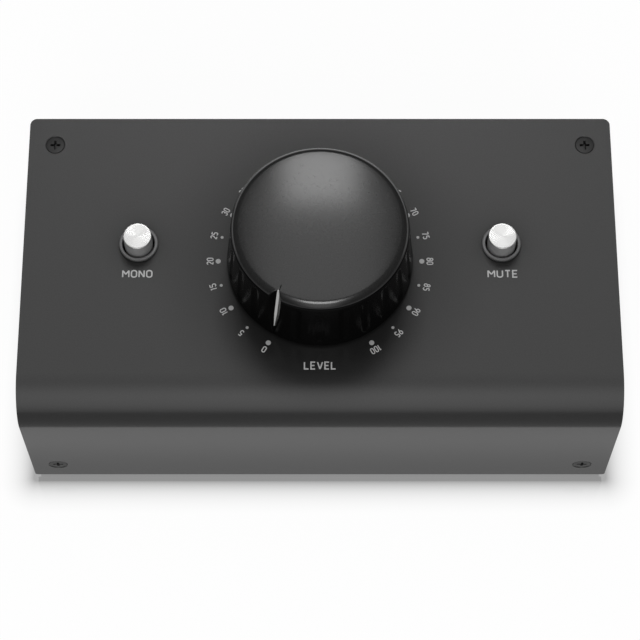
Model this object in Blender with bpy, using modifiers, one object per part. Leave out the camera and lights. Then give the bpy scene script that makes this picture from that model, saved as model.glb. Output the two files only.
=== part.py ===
# Studio monitor controller: a folded steel case with one large level knob and two latching push buttons.
# Metres, +Z up. The origin is on the resting surface, under the middle of the whole object.
# The front looks along -Y, the sockets are on the back, and the knob stands in its lowest position.

import math

import bmesh
import bpy
from mathutils import Matrix, Vector

# Case
case_width = 0.160
case_depth = 0.0868
case_height = 0.049
foot_height = 0.003
cover_thickness = 0.0015
bend_radius = 0.0113
back_corner_radius = 0.0019
front_corner_radius = 0.0008
chassis_thickness = 0.0012
chassis_inset = 0.0005
fold_radius = 0.0018
lip_depth = 0.014
seat_gap = 0.0002
rear_reach = 0.0024
bore_room = 0.0001

front_y = -(case_depth + rear_reach) / 2
back_y = front_y + case_depth
wall_y = back_y - 0.0004
wall_inner_y = wall_y - chassis_thickness
panel_z = foot_height + case_height
panel_under_z = panel_z - cover_thickness
chassis_half_width = case_width / 2 - chassis_inset
chassis_front_y = front_y + cover_thickness + seat_gap
chassis_top_z = panel_under_z - seat_gap

# Where the controls and the visible screws stand
knob_y = front_y + 0.0435
button_x = 0.0489
button_y = knob_y + 0.005
cover_screw_x = 0.0728
rear_screw_y = back_y - 0.0081
front_screw_z = foot_height + 0.0083
foot_x = 0.064
foot_y = 0.030

# Level knob, with heights above the panel
knob_base_radius = 0.02495
knob_rim_radius = 0.02305
knob_lift = 0.0008
knob_rim_height = 0.0227
knob_fillet = 0.002
knob_crown_slope = math.radians(7.5)
knob_wall = 0.0021
knob_cavity_height = 0.0165
flute_count = 24
pointer_angle = math.radians(-120)
pointer_width = 0.0008

# Potentiometer under the knob
shaft_radius = 0.003
shaft_flat = 0.0015
shaft_top = 0.016
shaft_end = -0.022
bush_radius = 0.0035
bush_top = 0.005
pot_radius = 0.0084
pot_top = -0.0029
gang_count = 4
gang_height = 0.0059
gang_groove = 0.0005

# Push buttons, with heights above the panel
cap_radius = 0.0038
cap_height = 0.0055
cap_skirt = -0.0045
ring_radius = 0.00525
ring_bore = 0.00435
ring_height = 0.001
ring_sleeve_radius = 0.0047
stem_half = 0.0017
button_travel = 0.003
switch_top = -0.0138
switch_half = 0.005
spring_radius = 0.0029
spring_wire = 0.00025
spring_turns = 5

# Boards
board_thickness = 0.0016
control_board_top = -0.0285
control_board_half_width = 0.066
control_board_front = knob_y - 0.018
control_board_back = knob_y + 0.0118
socket_depth = 0.0265
connector_board_y = wall_inner_y - socket_depth - seat_gap - board_thickness / 2
standoff_x = 0.0605

# Rear sockets, with depths measured from the outer face of the rear wall
socket_z = foot_height + case_height / 2 - 0.0006
output_x = (-0.057, -0.028)
input_x = (0.028, 0.057)
nose_radius = 0.0118
nose_stand = 0.0006
flange_half_width = 0.013
flange_half_height = 0.0155
flange_thickness = 0.0025
socket_screw_x = 0.0095
socket_screw_y = 0.012
cup_depth = 0.0145
output_cup_radius = 0.0083
input_cup_radius = 0.00955
jack_bore_radius = 0.0033
mini_bush_radius = 0.003
mini_bore_radius = 0.0018
mini_bush_stand = back_y + rear_reach - wall_y

fine = 48
medium = 28
small = 20
coarse = 12
to_back = (-math.pi / 2, 0, 0)
to_front = (math.pi / 2, 0, 0)

object_collection = None
cutter_collection = None


def clear_scene():
    for obj in list(bpy.data.objects):
        bpy.data.objects.remove(obj, do_unlink=True)


def new_collection(name):
    collection = bpy.data.collections.new(name)
    bpy.context.scene.collection.children.link(collection)
    return collection


def finish(name, colour, roughness, metallic=0.0):
    material = bpy.data.materials.new(name)
    material.use_nodes = True
    shader = material.node_tree.nodes["Principled BSDF"]
    shader.inputs["Base Color"].default_value = (*colour, 1.0)
    shader.inputs["Roughness"].default_value = roughness
    shader.inputs["Metallic"].default_value = metallic
    return material


def add_object(name, mesh, material, place=(0, 0, 0), turn=(0, 0, 0)):
    """Material None makes the object a cutter."""
    obj = bpy.data.objects.new(name, mesh)
    obj.location = place
    obj.rotation_euler = turn
    if material is None:
        cutter_collection.objects.link(obj)
        obj.hide_render = True
        obj.display_type = "WIRE"
    else:
        object_collection.objects.link(obj)
        mesh.materials.append(material)
    return obj


def from_bmesh(name, bm, material, place=(0, 0, 0), turn=(0, 0, 0)):
    mesh = bpy.data.meshes.new(name)
    bm.to_mesh(mesh)
    bm.free()
    return add_object(name, mesh, material, place, turn)


def add_box(bm, low, high, matrix=None):
    """A box between two corners, added to a bmesh."""
    low, high = Vector(low), Vector(high)
    frame = Matrix.Translation((low + high) / 2) @ Matrix.Diagonal((*(high - low), 1))
    bmesh.ops.create_cube(bm, size=1.0, matrix=(matrix or Matrix()) @ frame)


def box(name, low, high, material, place=(0, 0, 0), turn=(0, 0, 0), edge=0.0):
    bm = bmesh.new()
    add_box(bm, low, high)
    if edge:
        bmesh.ops.bevel(bm, geom=bm.edges[:], offset=edge, segments=1, affect="EDGES", profile=0.5)
    return from_bmesh(name, bm, material, place, turn)


def turned(name, profile, material, place=(0, 0, 0), turn=(0, 0, 0), steps=medium):
    """A turned piece. The profile holds (radius, height) points and runs down the outer side."""
    points = [(radius, 0.0, height) for radius, height in profile]
    edges = [(i, i + 1) for i in range(len(points) - 1)]
    if profile[0][0] > 0:
        edges.append((len(points) - 1, 0))
    mesh = bpy.data.meshes.new(name)
    mesh.from_pydata(points, edges, [])
    obj = add_object(name, mesh, material, place, turn)
    screw = obj.modifiers.new("Screw", "SCREW")
    screw.steps = screw.render_steps = steps
    screw.use_merge_vertices = True
    screw.merge_threshold = 0.00001
    screw.use_smooth_shade = True
    return obj


def prism(name, outline, low, high, material, place=(0, 0, 0), turn=(0, 0, 0)):
    """A flat outline given thickness from low to high along its own Z."""
    curve = bpy.data.curves.new(name, "CURVE")
    curve.dimensions = "2D"
    curve.fill_mode = "BOTH"
    curve.extrude = (high - low) / 2
    spline = curve.splines.new("POLY")
    spline.points.add(len(outline) - 1)
    for point, (x, y) in zip(spline.points, outline):
        point.co = (x, y, 0.0, 1.0)
    spline.use_cyclic_u = True
    lift = Matrix.Translation((0, 0, (low + high) / 2))
    holder = bpy.data.objects.new(name + "_outline", curve)
    bpy.context.scene.collection.objects.link(holder)
    graph = bpy.context.evaluated_depsgraph_get()
    mesh = bpy.data.meshes.new_from_object(holder.evaluated_get(graph))
    bpy.data.objects.remove(holder)
    bm = bmesh.new()
    bm.from_mesh(mesh)
    bmesh.ops.remove_doubles(bm, verts=bm.verts, dist=0.00001)
    bmesh.ops.transform(bm, matrix=lift, verts=bm.verts)
    bm.to_mesh(mesh)
    bm.free()
    mesh.materials.clear()
    return add_object(name, mesh, material, place, turn)


def combine(obj, other, operation):
    modifier = obj.modifiers.new(operation.title(), "BOOLEAN")
    modifier.operation = operation
    modifier.object = other
    return obj


def cut(obj, *cutters):
    for cutter in cutters:
        combine(obj, cutter, "DIFFERENCE")
    return obj


def fuse(obj, *others):
    for other in others:
        combine(obj, other, "UNION")
    return obj


def rounded_rectangle(half_width, half_height, radius, steps=3):
    """Corner points of a rectangle with round corners, anticlockwise."""
    points = []
    corners = ((1, 1, 0), (-1, 1, 90), (-1, -1, 180), (1, -1, 270))
    for side_x, side_y, start in corners:
        for step in range(steps + 1):
            angle = math.radians(start + 90 * step / steps)
            points.append(
                (
                    side_x * (half_width - radius) + radius * math.cos(angle),
                    side_y * (half_height - radius) + radius * math.sin(angle),
                )
            )
    return points


def arc(centre, radius, start, end, steps):
    """Points (r, z) on an arc, with angles in degrees from the r axis."""
    angles = [math.radians(start + (end - start) * i / steps) for i in range(steps + 1)]
    return [(centre[0] + radius * math.cos(a), centre[1] + radius * math.sin(a)) for a in angles]


def hole(name, radius, place, turn=(0, 0, 0), reach=0.006, steps=medium):
    """A round cutter through a sheet, centred on the given place."""
    profile = [(0, reach), (radius, reach), (radius, -reach), (0, -reach)]
    return turned(name, profile, None, place, turn, steps)


def round_open_corners(bm, corners, radius, segments=4):
    """Rounds the open corners of a sheet at the given points."""
    near = 0.00001
    verts = [v for v in bm.verts if any((v.co - Vector(c)).length < near for c in corners)]
    bmesh.ops.bevel(bm, geom=verts, offset=radius, segments=segments, affect="VERTICES", profile=0.5)


def sheet_thickness(obj, thickness):
    solidify = obj.modifiers.new("Solidify", "SOLIDIFY")
    solidify.thickness = thickness
    solidify.offset = -1
    solidify.use_even_offset = True


def cross_recess(name, place, turn, half_length=0.00145, half_width=0.00032, depth=0.0013):
    """The driver's cross in a screw head, as two slots that narrow towards their bottom."""
    slots = []
    for way, x, y in (("a", half_length, half_width), ("b", half_width, half_length)):
        slot = box(f"{name}_{way}", (-x, -y, -depth), (x, y, depth), None, place, turn)
        for vertex in slot.data.vertices:
            if vertex.co.z < 0:
                vertex.co.x *= 0.55
                vertex.co.y *= 0.55
        slots.append(slot)
    return slots


def make_cover(paint):
    """Top panel and front in one sheet, folded over a large bend."""
    half = case_width / 2
    centre_y, centre_z = front_y + bend_radius, panel_z - bend_radius
    bend_steps = 8
    side = [(back_y, panel_z)]
    side += [
        (centre_y - bend_radius * math.sin(a), centre_z + bend_radius * math.cos(a))
        for a in (math.radians(90 * i / bend_steps) for i in range(bend_steps + 1))
    ]
    side.append((front_y, foot_height))
    bm = bmesh.new()
    verts = [bm.verts.new((-half, y, z)) for y, z in side]
    edges = [bm.edges.new(pair) for pair in zip(verts, verts[1:])]
    swept = bmesh.ops.extrude_edge_only(bm, edges=edges)["geom"]
    moved = [item for item in swept if isinstance(item, bmesh.types.BMVert)]
    bmesh.ops.translate(bm, verts=moved, vec=(case_width, 0, 0))
    for (y, z), radius in ((side[0], back_corner_radius), (side[-1], front_corner_radius)):
        round_open_corners(bm, [(-half, y, z), (half, y, z)], radius)
    bmesh.ops.recalc_face_normals(bm, faces=bm.faces)
    top = max(bm.faces, key=lambda face: face.calc_center_median().z)
    if top.normal.z < 0:
        bmesh.ops.reverse_faces(bm, faces=bm.faces)
    cover = from_bmesh("top_cover", bm, paint)
    sheet_thickness(cover, cover_thickness)
    cut(cover, hole("shaft_hole", bush_radius + bore_room, (0, knob_y, panel_z)))
    for side_name, x in (("left", -button_x), ("right", button_x)):
        cut(cover, hole("ring_hole_" + side_name, ring_sleeve_radius + bore_room, (x, button_y, panel_z)))
    for name, place, turn in cover_screw_places():
        cut(cover, countersink("countersink_" + name, place, turn))
    return cover


def cover_screw_places():
    """Name, place and turn of the four screws that hold the cover."""
    for side_name, x in (("left", -cover_screw_x), ("right", cover_screw_x)):
        yield "rear_" + side_name, (x, rear_screw_y, panel_z), (0, 0, 0)
        yield "front_" + side_name, (x, front_y, front_screw_z), to_front


def countersink(name, place, turn):
    clear, deep = 0.0018, 0.005
    mouth, seat = 0.0032, 0.0014
    above = 0.001
    profile = [(0, above), (mouth + above, above), (clear, -seat), (clear, -deep), (0, -deep)]
    return turned(name, profile, None, place, turn, small)


def make_cover_screws(black_zinc):
    head, shank, length, sunk = 0.00275, 0.0015, 0.007, 0.00015
    rim = 0.0001
    for name, place, turn in cover_screw_places():
        profile = [(0, -sunk), (head, -sunk), (head, -sunk - rim), (shank, -sunk - rim - head + shank)]
        profile += [(shank, -length), (0, -length)]
        screw = turned("cover_screw_" + name, profile, black_zinc, place, turn, small)
        cut(screw, *cross_recess("recess_" + name, place, turn))


def make_chassis(paint):
    """Bottom, back and sides folded from one sheet, with a lip along the back and one along the front."""
    bm = bmesh.new()
    low = (-chassis_half_width, chassis_front_y, foot_height)
    high = (chassis_half_width, wall_y, chassis_top_z)
    add_box(bm, low, high)
    open_faces = [f for f in bm.faces if f.normal.z > 0.5 or f.normal.y < -0.5]
    bmesh.ops.delete(bm, geom=open_faces, context="FACES")
    folds = [e for e in bm.edges if len(e.link_faces) == 2]
    bmesh.ops.bevel(bm, geom=folds, offset=fold_radius, segments=3, affect="EDGES", profile=0.5)
    corners = [(x, chassis_front_y, chassis_top_z) for x in (-chassis_half_width, chassis_half_width)]
    round_open_corners(bm, corners, bend_radius - cover_thickness, segments=6)
    chassis = from_bmesh("base_chassis", bm, paint)
    sheet_thickness(chassis, chassis_thickness)
    relief = 0.0012
    lip_half = chassis_half_width - chassis_thickness - relief
    bite = chassis_thickness / 2
    thread_radius, clearance_radius = 0.0017, 0.0016
    back_lip = box(
        "back_lip",
        (-lip_half, wall_inner_y - lip_depth, chassis_top_z - chassis_thickness),
        (lip_half, wall_inner_y + bite, chassis_top_z),
        None,
    )
    front_lip = box(
        "front_lip",
        (-lip_half, chassis_front_y, foot_height + bite),
        (lip_half, chassis_front_y + chassis_thickness, foot_height + lip_depth),
        None,
    )
    fuse(chassis, back_lip, front_lip)
    for name, place, turn in cover_screw_places():
        cut(chassis, hole("thread_" + name, thread_radius, place, turn, steps=coarse))
    for name, x in socket_places():
        cut(chassis, hole("opening_" + name, nose_radius + 0.0002, (x, wall_y, socket_z), to_back))
        for corner, place in socket_screw_places(x):
            cut(chassis, hole(f"clearance_{name}_{corner}", clearance_radius, place, to_back, steps=8))
    mini_place = (0, wall_y, socket_z)
    cut(chassis, hole("opening_mini", mini_bush_radius + bore_room, mini_place, to_back, steps=small))
    return chassis


def make_feet(rubber):
    radius, draft, edge = 0.0062, 0.0005, 0.0005
    top = foot_height - 0.0001
    profile = [(0, top), (radius - draft, top), (radius, edge), (radius - edge, 0), (0, 0)]
    for side_name, x in (("left", -foot_x), ("right", foot_x)):
        for end_name, y in (("front", -foot_y), ("rear", foot_y)):
            turned(f"foot_{end_name}_{side_name}", profile, rubber, (x, y, 0), steps=24)


def cone_radius(height):
    """Radius of the knob's flared side at a height above the panel."""
    share = (height - knob_lift) / (knob_rim_height - knob_fillet - knob_lift)
    return knob_base_radius + (knob_rim_radius - knob_base_radius) * share


def knob_top():
    """Outline (radius, height) of the crowned top and the rounded rim, from the middle outwards."""
    centre = (knob_rim_radius - knob_fillet, knob_rim_height - knob_fillet)
    rim = arc(centre, knob_fillet, 90 - math.degrees(knob_crown_slope), 5, 5)
    edge_radius, edge_height = rim[0]
    crown = edge_radius * math.tan(knob_crown_slope) / 2
    shares = (0, 0.35, 0.7)
    return [(edge_radius * share, edge_height + crown * (1 - share**2)) for share in shares] + rim


def make_knob(plastic):
    """Flared knob with a crowned top, a hub, six ribs, grip flutes and the pointer's notch."""
    base_edge, ceiling_draft = 0.0004, 0.0008
    hub_radius, hub_bottom = 0.0053, bush_top + 0.0007
    ceiling = knob_cavity_height
    profile = knob_top()
    profile += [(knob_base_radius, knob_lift + base_edge), (knob_base_radius - base_edge, knob_lift)]
    profile += [(knob_base_radius - knob_wall, knob_lift)]
    profile += [(knob_rim_radius - knob_wall - ceiling_draft, ceiling)]
    profile += [(hub_radius, ceiling), (hub_radius, hub_bottom), (0, hub_bottom)]
    centre = (0, knob_y, panel_z)
    knob = turned("knob_body", profile, plastic, centre, steps=fine)
    fuse(knob, knob_ribs(centre, hub_radius, ceiling))
    cut(knob, d_bore(centre), knob_flutes(centre), pointer_notch(centre), pointer_slot(centre))
    return knob


def knob_ribs(centre, hub_radius, ceiling):
    bm = bmesh.new()
    count, half_thickness, bottom, bite = 6, 0.0006, 0.009, 0.0006
    outer = cone_radius(bottom) - knob_wall
    for index in range(count):
        around = Matrix.Rotation(math.tau * (index + 0.5) / count, 4, "Z")
        add_box(
            bm,
            (hub_radius - bite, -half_thickness, bottom),
            (outer, half_thickness, ceiling + bite),
            around,
        )
    return from_bmesh("knob_ribs", bm, None, centre)


def d_section(radius, flat, steps):
    """Outline of a round shaft with one flat, the flat facing +Y."""
    half = math.acos(flat / radius)
    start, end = math.pi / 2 + half, math.pi / 2 - half + math.tau
    angles = [start + (end - start) * i / steps for i in range(steps + 1)]
    return [(radius * math.cos(a), radius * math.sin(a)) for a in angles]


def d_bore(centre):
    outline = d_section(shaft_radius + bore_room, shaft_flat + bore_room, small)
    return prism("knob_bore", outline, 0.0, shaft_top + seat_gap, None, centre)


def side_frame(angle, height_low, height_high, offset):
    """Frame whose Z runs up the knob's side at an angle, offset outwards from it."""
    low = Vector((cone_radius(height_low) + offset, 0, height_low))
    high = Vector((cone_radius(height_high) + offset, 0, height_high))
    up = (high - low).normalized()
    side = Vector((0, 1, 0))
    out = side.cross(up)
    frame = Matrix((out, side, up)).transposed().to_4x4()
    frame.translation = low
    return Matrix.Rotation(angle, 4, "Z") @ frame, (high - low).length


def knob_flutes(centre):
    """Shallow round-ended grooves on the side, one at each step but the pointer's."""
    width, depth, sides = 0.0024, 0.00045, 12
    radius = (width**2 / 4 + depth**2) / (2 * depth)
    low, high = 0.0036, 0.0186
    bm = bmesh.new()
    for index in range(1, flute_count):
        angle = pointer_angle + math.tau * index / flute_count
        frame, length = side_frame(angle, low, high, radius - depth)
        add_capsule(bm, radius, length, sides, frame)
    return from_bmesh("knob_flutes", bm, None, centre)


def add_capsule(bm, radius, length, sides, frame):
    """A cylinder with tapered round ends along the frame's Z, starting at its origin."""
    end = 0.0009
    rings = ((0.0, 0.72), (end, 1.0), (length - end, 1.0), (length, 0.72))
    last = None
    for height, share in rings:
        circle = bmesh.ops.create_circle(
            bm,
            cap_ends=False,
            segments=sides,
            radius=radius * share,
            matrix=frame @ Matrix.Translation((0, 0, height)),
        )
        edges = list({e for v in circle["verts"] for e in v.link_edges})
        if last is None:
            cap = bmesh.ops.contextual_create(bm, geom=edges)["faces"]
            for face in cap:
                face.normal_flip()
        else:
            bmesh.ops.bridge_loops(bm, edges=last + edges)
        last = edges
    bmesh.ops.contextual_create(bm, geom=last)
    bmesh.ops.recalc_face_normals(bm, faces=bm.faces)


def notch_line():
    """Ends (radius, height) of the bottom line of the pointer's notch, above and below the knob's side."""
    top = (0.0206, knob_rim_height + 0.0002)
    bottom = (0.0242, 0.0040)
    slope = (bottom[0] - top[0]) / (bottom[1] - top[1])
    above, below = knob_rim_height + 0.003, bottom[1] - 0.002
    return (top[0] + slope * (above - top[1]), above), (top[0] + slope * (below - top[1]), below)


def pointer_notch(centre):
    """A V groove, deepest at the rim, that runs out towards the base."""
    opening = math.tan(math.radians(42))
    deep = 0.006
    (top_r, top_z), (low_r, low_z) = notch_line()
    bm = bmesh.new()
    ends = []
    for r, z in ((low_r, low_z), (top_r, top_z)):
        ends.append(
            [
                bm.verts.new((r, 0, z)),
                bm.verts.new((r + deep, -deep * opening, z)),
                bm.verts.new((r + deep, deep * opening, z)),
            ]
        )
    faces = [bm.faces.new(end) for end in ends]
    loops = [list(face.edges) for face in faces]
    bmesh.ops.bridge_loops(bm, edges=loops[0] + loops[1])
    bmesh.ops.recalc_face_normals(bm, faces=bm.faces)
    bmesh.ops.rotate(bm, verts=bm.verts, cent=(0, 0, 0), matrix=Matrix.Rotation(pointer_angle, 3, "Z"))
    return from_bmesh("pointer_notch", bm, None, centre)


def pointer_outline(margin, reach):
    """Side view (radius, height) of the blade, or of its slot, which reaches up and out of the knob."""
    top, low = knob_rim_height - 0.0001, 0.0051
    outer_top, outer_low = 0.02135, 0.02425
    root = 0.0011
    slant = (outer_low - outer_top) / (top - low)
    inner_top, inner_low = outer_top - root - margin, outer_low - root - margin
    return [
        (outer_top + reach, top + reach),
        (inner_top - slant * reach, top + reach),
        (inner_low, low - margin),
        (outer_low + reach, low - margin),
    ]


def blade(name, margin, reach, material, centre):
    half = pointer_width / 2 + margin
    stand = (math.pi / 2, 0, pointer_angle)
    return prism(name, pointer_outline(margin, reach), -half, half, material, centre, stand)


def pointer_slot(centre):
    reach = 0.004
    return blade("pointer_slot", bore_room, reach, None, centre)


def make_pointer(white):
    return blade("knob_pointer", 0.0, 0.0, white, (0, knob_y, panel_z))


def make_potentiometer(steel, zinc, housing_metal):
    centre = (0, knob_y, panel_z)
    edge = 0.0004
    profile = [(0, shaft_top), (shaft_radius - edge, shaft_top), (shaft_radius, shaft_top - edge)]
    profile += [(shaft_radius, shaft_end), (0, shaft_end)]
    shaft = turned("pot_shaft", profile, steel, centre, steps=small)
    clear, flat_start = shaft_radius + 0.001, bush_top + seat_gap
    low, high = (-clear, shaft_flat, flat_start), (clear, clear, shaft_top + clear)
    cut(shaft, box("shaft_flat", low, high, None, centre))

    bore, plate_radius = shaft_radius + bore_room, 0.0078
    plate_top, plate_under = -cover_thickness - seat_gap, pot_top + seat_gap
    profile = [(bush_radius - edge, bush_top), (bush_radius, bush_top - edge)]
    profile += [(bush_radius, plate_top), (plate_radius, plate_top), (plate_radius, plate_under)]
    profile += [(bore, plate_under), (bore, bush_top)]
    bush = turned("pot_bush", profile, zinc, centre, steps=small)
    key_start, key_end, key_half, key_rise = 0.0060, 0.0074, 0.0007, 0.00015
    low, high = (key_start, -key_half, plate_under + key_rise), (key_end, key_half, plate_top + key_rise)
    fuse(bush, box("bush_key", low, high, None, centre))

    profile = []
    for gang in range(gang_count):
        top = pot_top - gang * (gang_height + gang_groove)
        bottom = top - gang_height
        profile += [(pot_radius, top), (pot_radius, bottom)]
        if gang < gang_count - 1:
            waist = pot_radius - gang_groove
            profile += [(waist, bottom), (waist, bottom - gang_groove)]
    shaft_room = shaft_end - 0.0005
    profile += [(0, bottom), (0, shaft_room), (bore, shaft_room), (bore, pot_top)]
    housing = turned("pot_housing", solid_ring(profile), housing_metal, centre, steps=small)
    fuse(housing, pot_terminals(centre))


def solid_ring(profile):
    """Starts a profile that meets the axis at its lower middle there, so that the ends close on the axis."""
    on_axis = [i for i, (radius, _) in enumerate(profile) if radius == 0]
    first, last = on_axis[0], on_axis[-1]
    return profile[last:] + profile[: first + 1]


def pot_terminals(centre):
    """Three legs from each gang, bent down to the control board."""
    pitch, half_width, thickness, row_step, first_row = 0.005, 0.0004, 0.0005, 0.0016, 0.0096
    bite = 0.0008
    foot = control_board_top + seat_gap
    bm = bmesh.new()
    for gang in range(gang_count):
        level = pot_top - gang * (gang_height + gang_groove) - gang_height / 2
        row = -(first_row + (gang_count - 1 - gang) * row_step)
        for column in (-1, 0, 1):
            x = column * pitch
            root = -math.sqrt(pot_radius**2 - x**2) + bite
            leg = [(root, level), (row + thickness, level), (row + thickness, foot), (row, foot)]
            leg += [(row, level + thickness), (root, level + thickness)]
            add_plate(bm, leg, x - half_width, x + half_width)
    bmesh.ops.recalc_face_normals(bm, faces=bm.faces)
    return from_bmesh("pot_terminals", bm, None, centre)


def add_plate(bm, outline, low_x, high_x):
    """A plate with its outline in Y and Z, added to a bmesh."""
    face = bm.faces.new([bm.verts.new((low_x, y, z)) for y, z in outline])
    swept = bmesh.ops.extrude_face_region(bm, geom=[face])["geom"]
    moved = [item for item in swept if isinstance(item, bmesh.types.BMVert)]
    bmesh.ops.translate(bm, verts=moved, vec=(high_x - low_x, 0, 0))


def make_pot_nut(zinc, steel):
    centre = (0, knob_y, panel_z)
    bore = bush_radius + bore_room
    washer_radius, washer_thickness = 0.0062, 0.0005
    nut_radius, nut_height = 0.0057, 0.002
    washer_top = seat_gap + washer_thickness
    profile = [(washer_radius, washer_top), (washer_radius, seat_gap), (bore, seat_gap), (bore, washer_top)]
    turned("pot_washer", profile, steel, centre, steps=small)
    nut_low = washer_top + seat_gap
    nut_top = nut_low + nut_height
    profile = [(0, nut_top), (nut_radius, nut_top), (nut_radius, nut_low), (0, nut_low)]
    nut = turned("pot_nut", profile, zinc, centre, steps=6)
    cut(nut, hole("nut_thread", bore, centre, steps=small))


def make_button(side_name, x, chrome, ring_plastic, nylon, spring_steel):
    """One latching push button: bezel ring, metal cap, stem, return spring and switch housing."""
    centre = (x, button_y, panel_z)
    dome, edge = 0.00025, 0.0004
    cap_profile = [(0, cap_height), (cap_radius * 0.55, cap_height - dome * 0.3)]
    cap_profile += [(cap_radius - edge, cap_height - dome), (cap_radius, cap_height - dome - edge)]
    cap_profile += [(cap_radius, cap_skirt), (0, cap_skirt)]
    cap = turned(side_name + "_cap", cap_profile, chrome, centre, steps=medium)
    socket = stem_half + bore_room
    socket_low, socket_top = (-socket, -socket, cap_skirt - 0.001), (socket, socket, seat_gap)
    cut(cap, box(side_name + "_socket", socket_low, socket_top, None, centre))

    lip, under, sleeve_end = 0.00025, 0.0001, -0.0035
    ring = [(ring_bore + lip, ring_height), (ring_radius - lip, ring_height)]
    ring += [(ring_radius, ring_height - lip), (ring_radius, under)]
    ring += [(ring_sleeve_radius, under), (ring_sleeve_radius, sleeve_end)]
    ring += [(ring_bore, sleeve_end), (ring_bore, ring_height - lip)]
    turned(side_name + "_ring", ring, ring_plastic, centre, steps=medium)

    stem_low = switch_top - 0.0045
    stem_foot, stem_head = (-stem_half, -stem_half, stem_low), (stem_half, stem_half, 0)
    box(side_name + "_plunger", stem_foot, stem_head, nylon, centre, edge=0.0002)
    switch_half_depth = switch_half + 0.0016
    housing = box(
        side_name + "_switch_housing",
        (-switch_half, -switch_half_depth, control_board_top + seat_gap),
        (switch_half, switch_half_depth, switch_top),
        nylon,
        centre,
        edge=0.0004,
    )
    well = stem_half + 0.0003
    floor = stem_low - button_travel - 0.0005
    low, high = (-well, -well, floor), (well, well, switch_top + well)
    cut(housing, box(side_name + "_well", low, high, None, centre))
    make_spring(side_name + "_spring", centre, spring_steel)


def make_spring(name, centre, spring_steel):
    """Return spring round the stem, from the switch housing up to the cap, its end turns closed up."""
    low = switch_top + seat_gap / 2 + spring_wire
    high = cap_skirt - seat_gap / 2 - spring_wire
    per_turn = 10
    dead, dead_pitch = 0.75, 0.0007
    rise = high - low - 2 * dead * dead_pitch
    curve = bpy.data.curves.new(name, "CURVE")
    curve.dimensions = "3D"
    curve.bevel_depth = spring_wire
    curve.bevel_resolution = 1
    curve.use_fill_caps = True
    spline = curve.splines.new("POLY")
    count = spring_turns * per_turn
    spline.points.add(count)
    heights = []
    for index, point in enumerate(spline.points):
        turn = index / per_turn
        active = min(max((turn - dead) / (spring_turns - 2 * dead), 0.0), 1.0)
        ends = min(turn, dead) + max(turn - (spring_turns - dead), 0.0)
        height = low + dead_pitch * ends + rise * active
        heights.append(height)
        angle = math.tau * turn
        point.co = (spring_radius * math.cos(angle), spring_radius * math.sin(angle), height, 1.0)
    least = min(b - a for a, b in zip(heights, heights[per_turn:])) - 2 * spring_wire
    print(f"{name}: least gap between turns {least * 1000:.2f} mm")
    add_object(name, curve, spring_steel, centre)


def make_boards(laminate):
    screw_hole, jack_relief, margin = 0.0017, 0.0036, 0.004
    board = box(
        "control_board",
        (-control_board_half_width, control_board_front, panel_z + control_board_top - board_thickness),
        (control_board_half_width, control_board_back, panel_z + control_board_top),
        laminate,
    )
    for side_name, x in (("left", -standoff_x), ("right", standoff_x)):
        place = (x, knob_y, panel_z + control_board_top)
        cut(board, hole("board_hole_" + side_name, screw_hole, place, steps=16))
    half = chassis_half_width - chassis_thickness - margin
    connector_board = box(
        "connector_board",
        (-half, connector_board_y - board_thickness / 2, foot_height + margin),
        (half, connector_board_y + board_thickness / 2, chassis_top_z - margin),
        laminate,
    )
    for name, x in zip(("left", "right"), input_x):
        place = (x, connector_board_y, socket_z)
        cut(connector_board, hole("jack_relief_" + name, jack_relief, place, to_back, steps=16))


def make_standoffs(brass, zinc):
    """Hexagonal pillars that hang the control board from the top panel, each with its screw."""
    top = -cover_thickness - seat_gap
    low = control_board_top + seat_gap
    pillar_radius, thread, bite = 0.0031, 0.0016, 0.005
    head, head_height, shank, sunk = 0.0028, 0.0019, 0.0015, 0.0001
    under_board = control_board_top - board_thickness - sunk
    for side_name, x in (("left", -standoff_x), ("right", standoff_x)):
        centre = (x, knob_y, panel_z)
        profile = [(0, top), (pillar_radius, top), (pillar_radius, low), (0, low)]
        pillar = turned("board_standoff_" + side_name, profile, brass, centre, steps=6)
        place = (x, knob_y, panel_z + low)
        cut(pillar, hole("pillar_thread_" + side_name, thread, place, reach=bite + 0.002, steps=coarse))
        profile = [(0, low + bite), (shank, low + bite), (shank, under_board), (head, under_board)]
        profile += [(head, under_board - head_height * 0.5), (head * 0.7, under_board - head_height)]
        profile += [(0, under_board - head_height)]
        turned("board_screw_" + side_name, profile, zinc, centre, steps=coarse)


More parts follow.
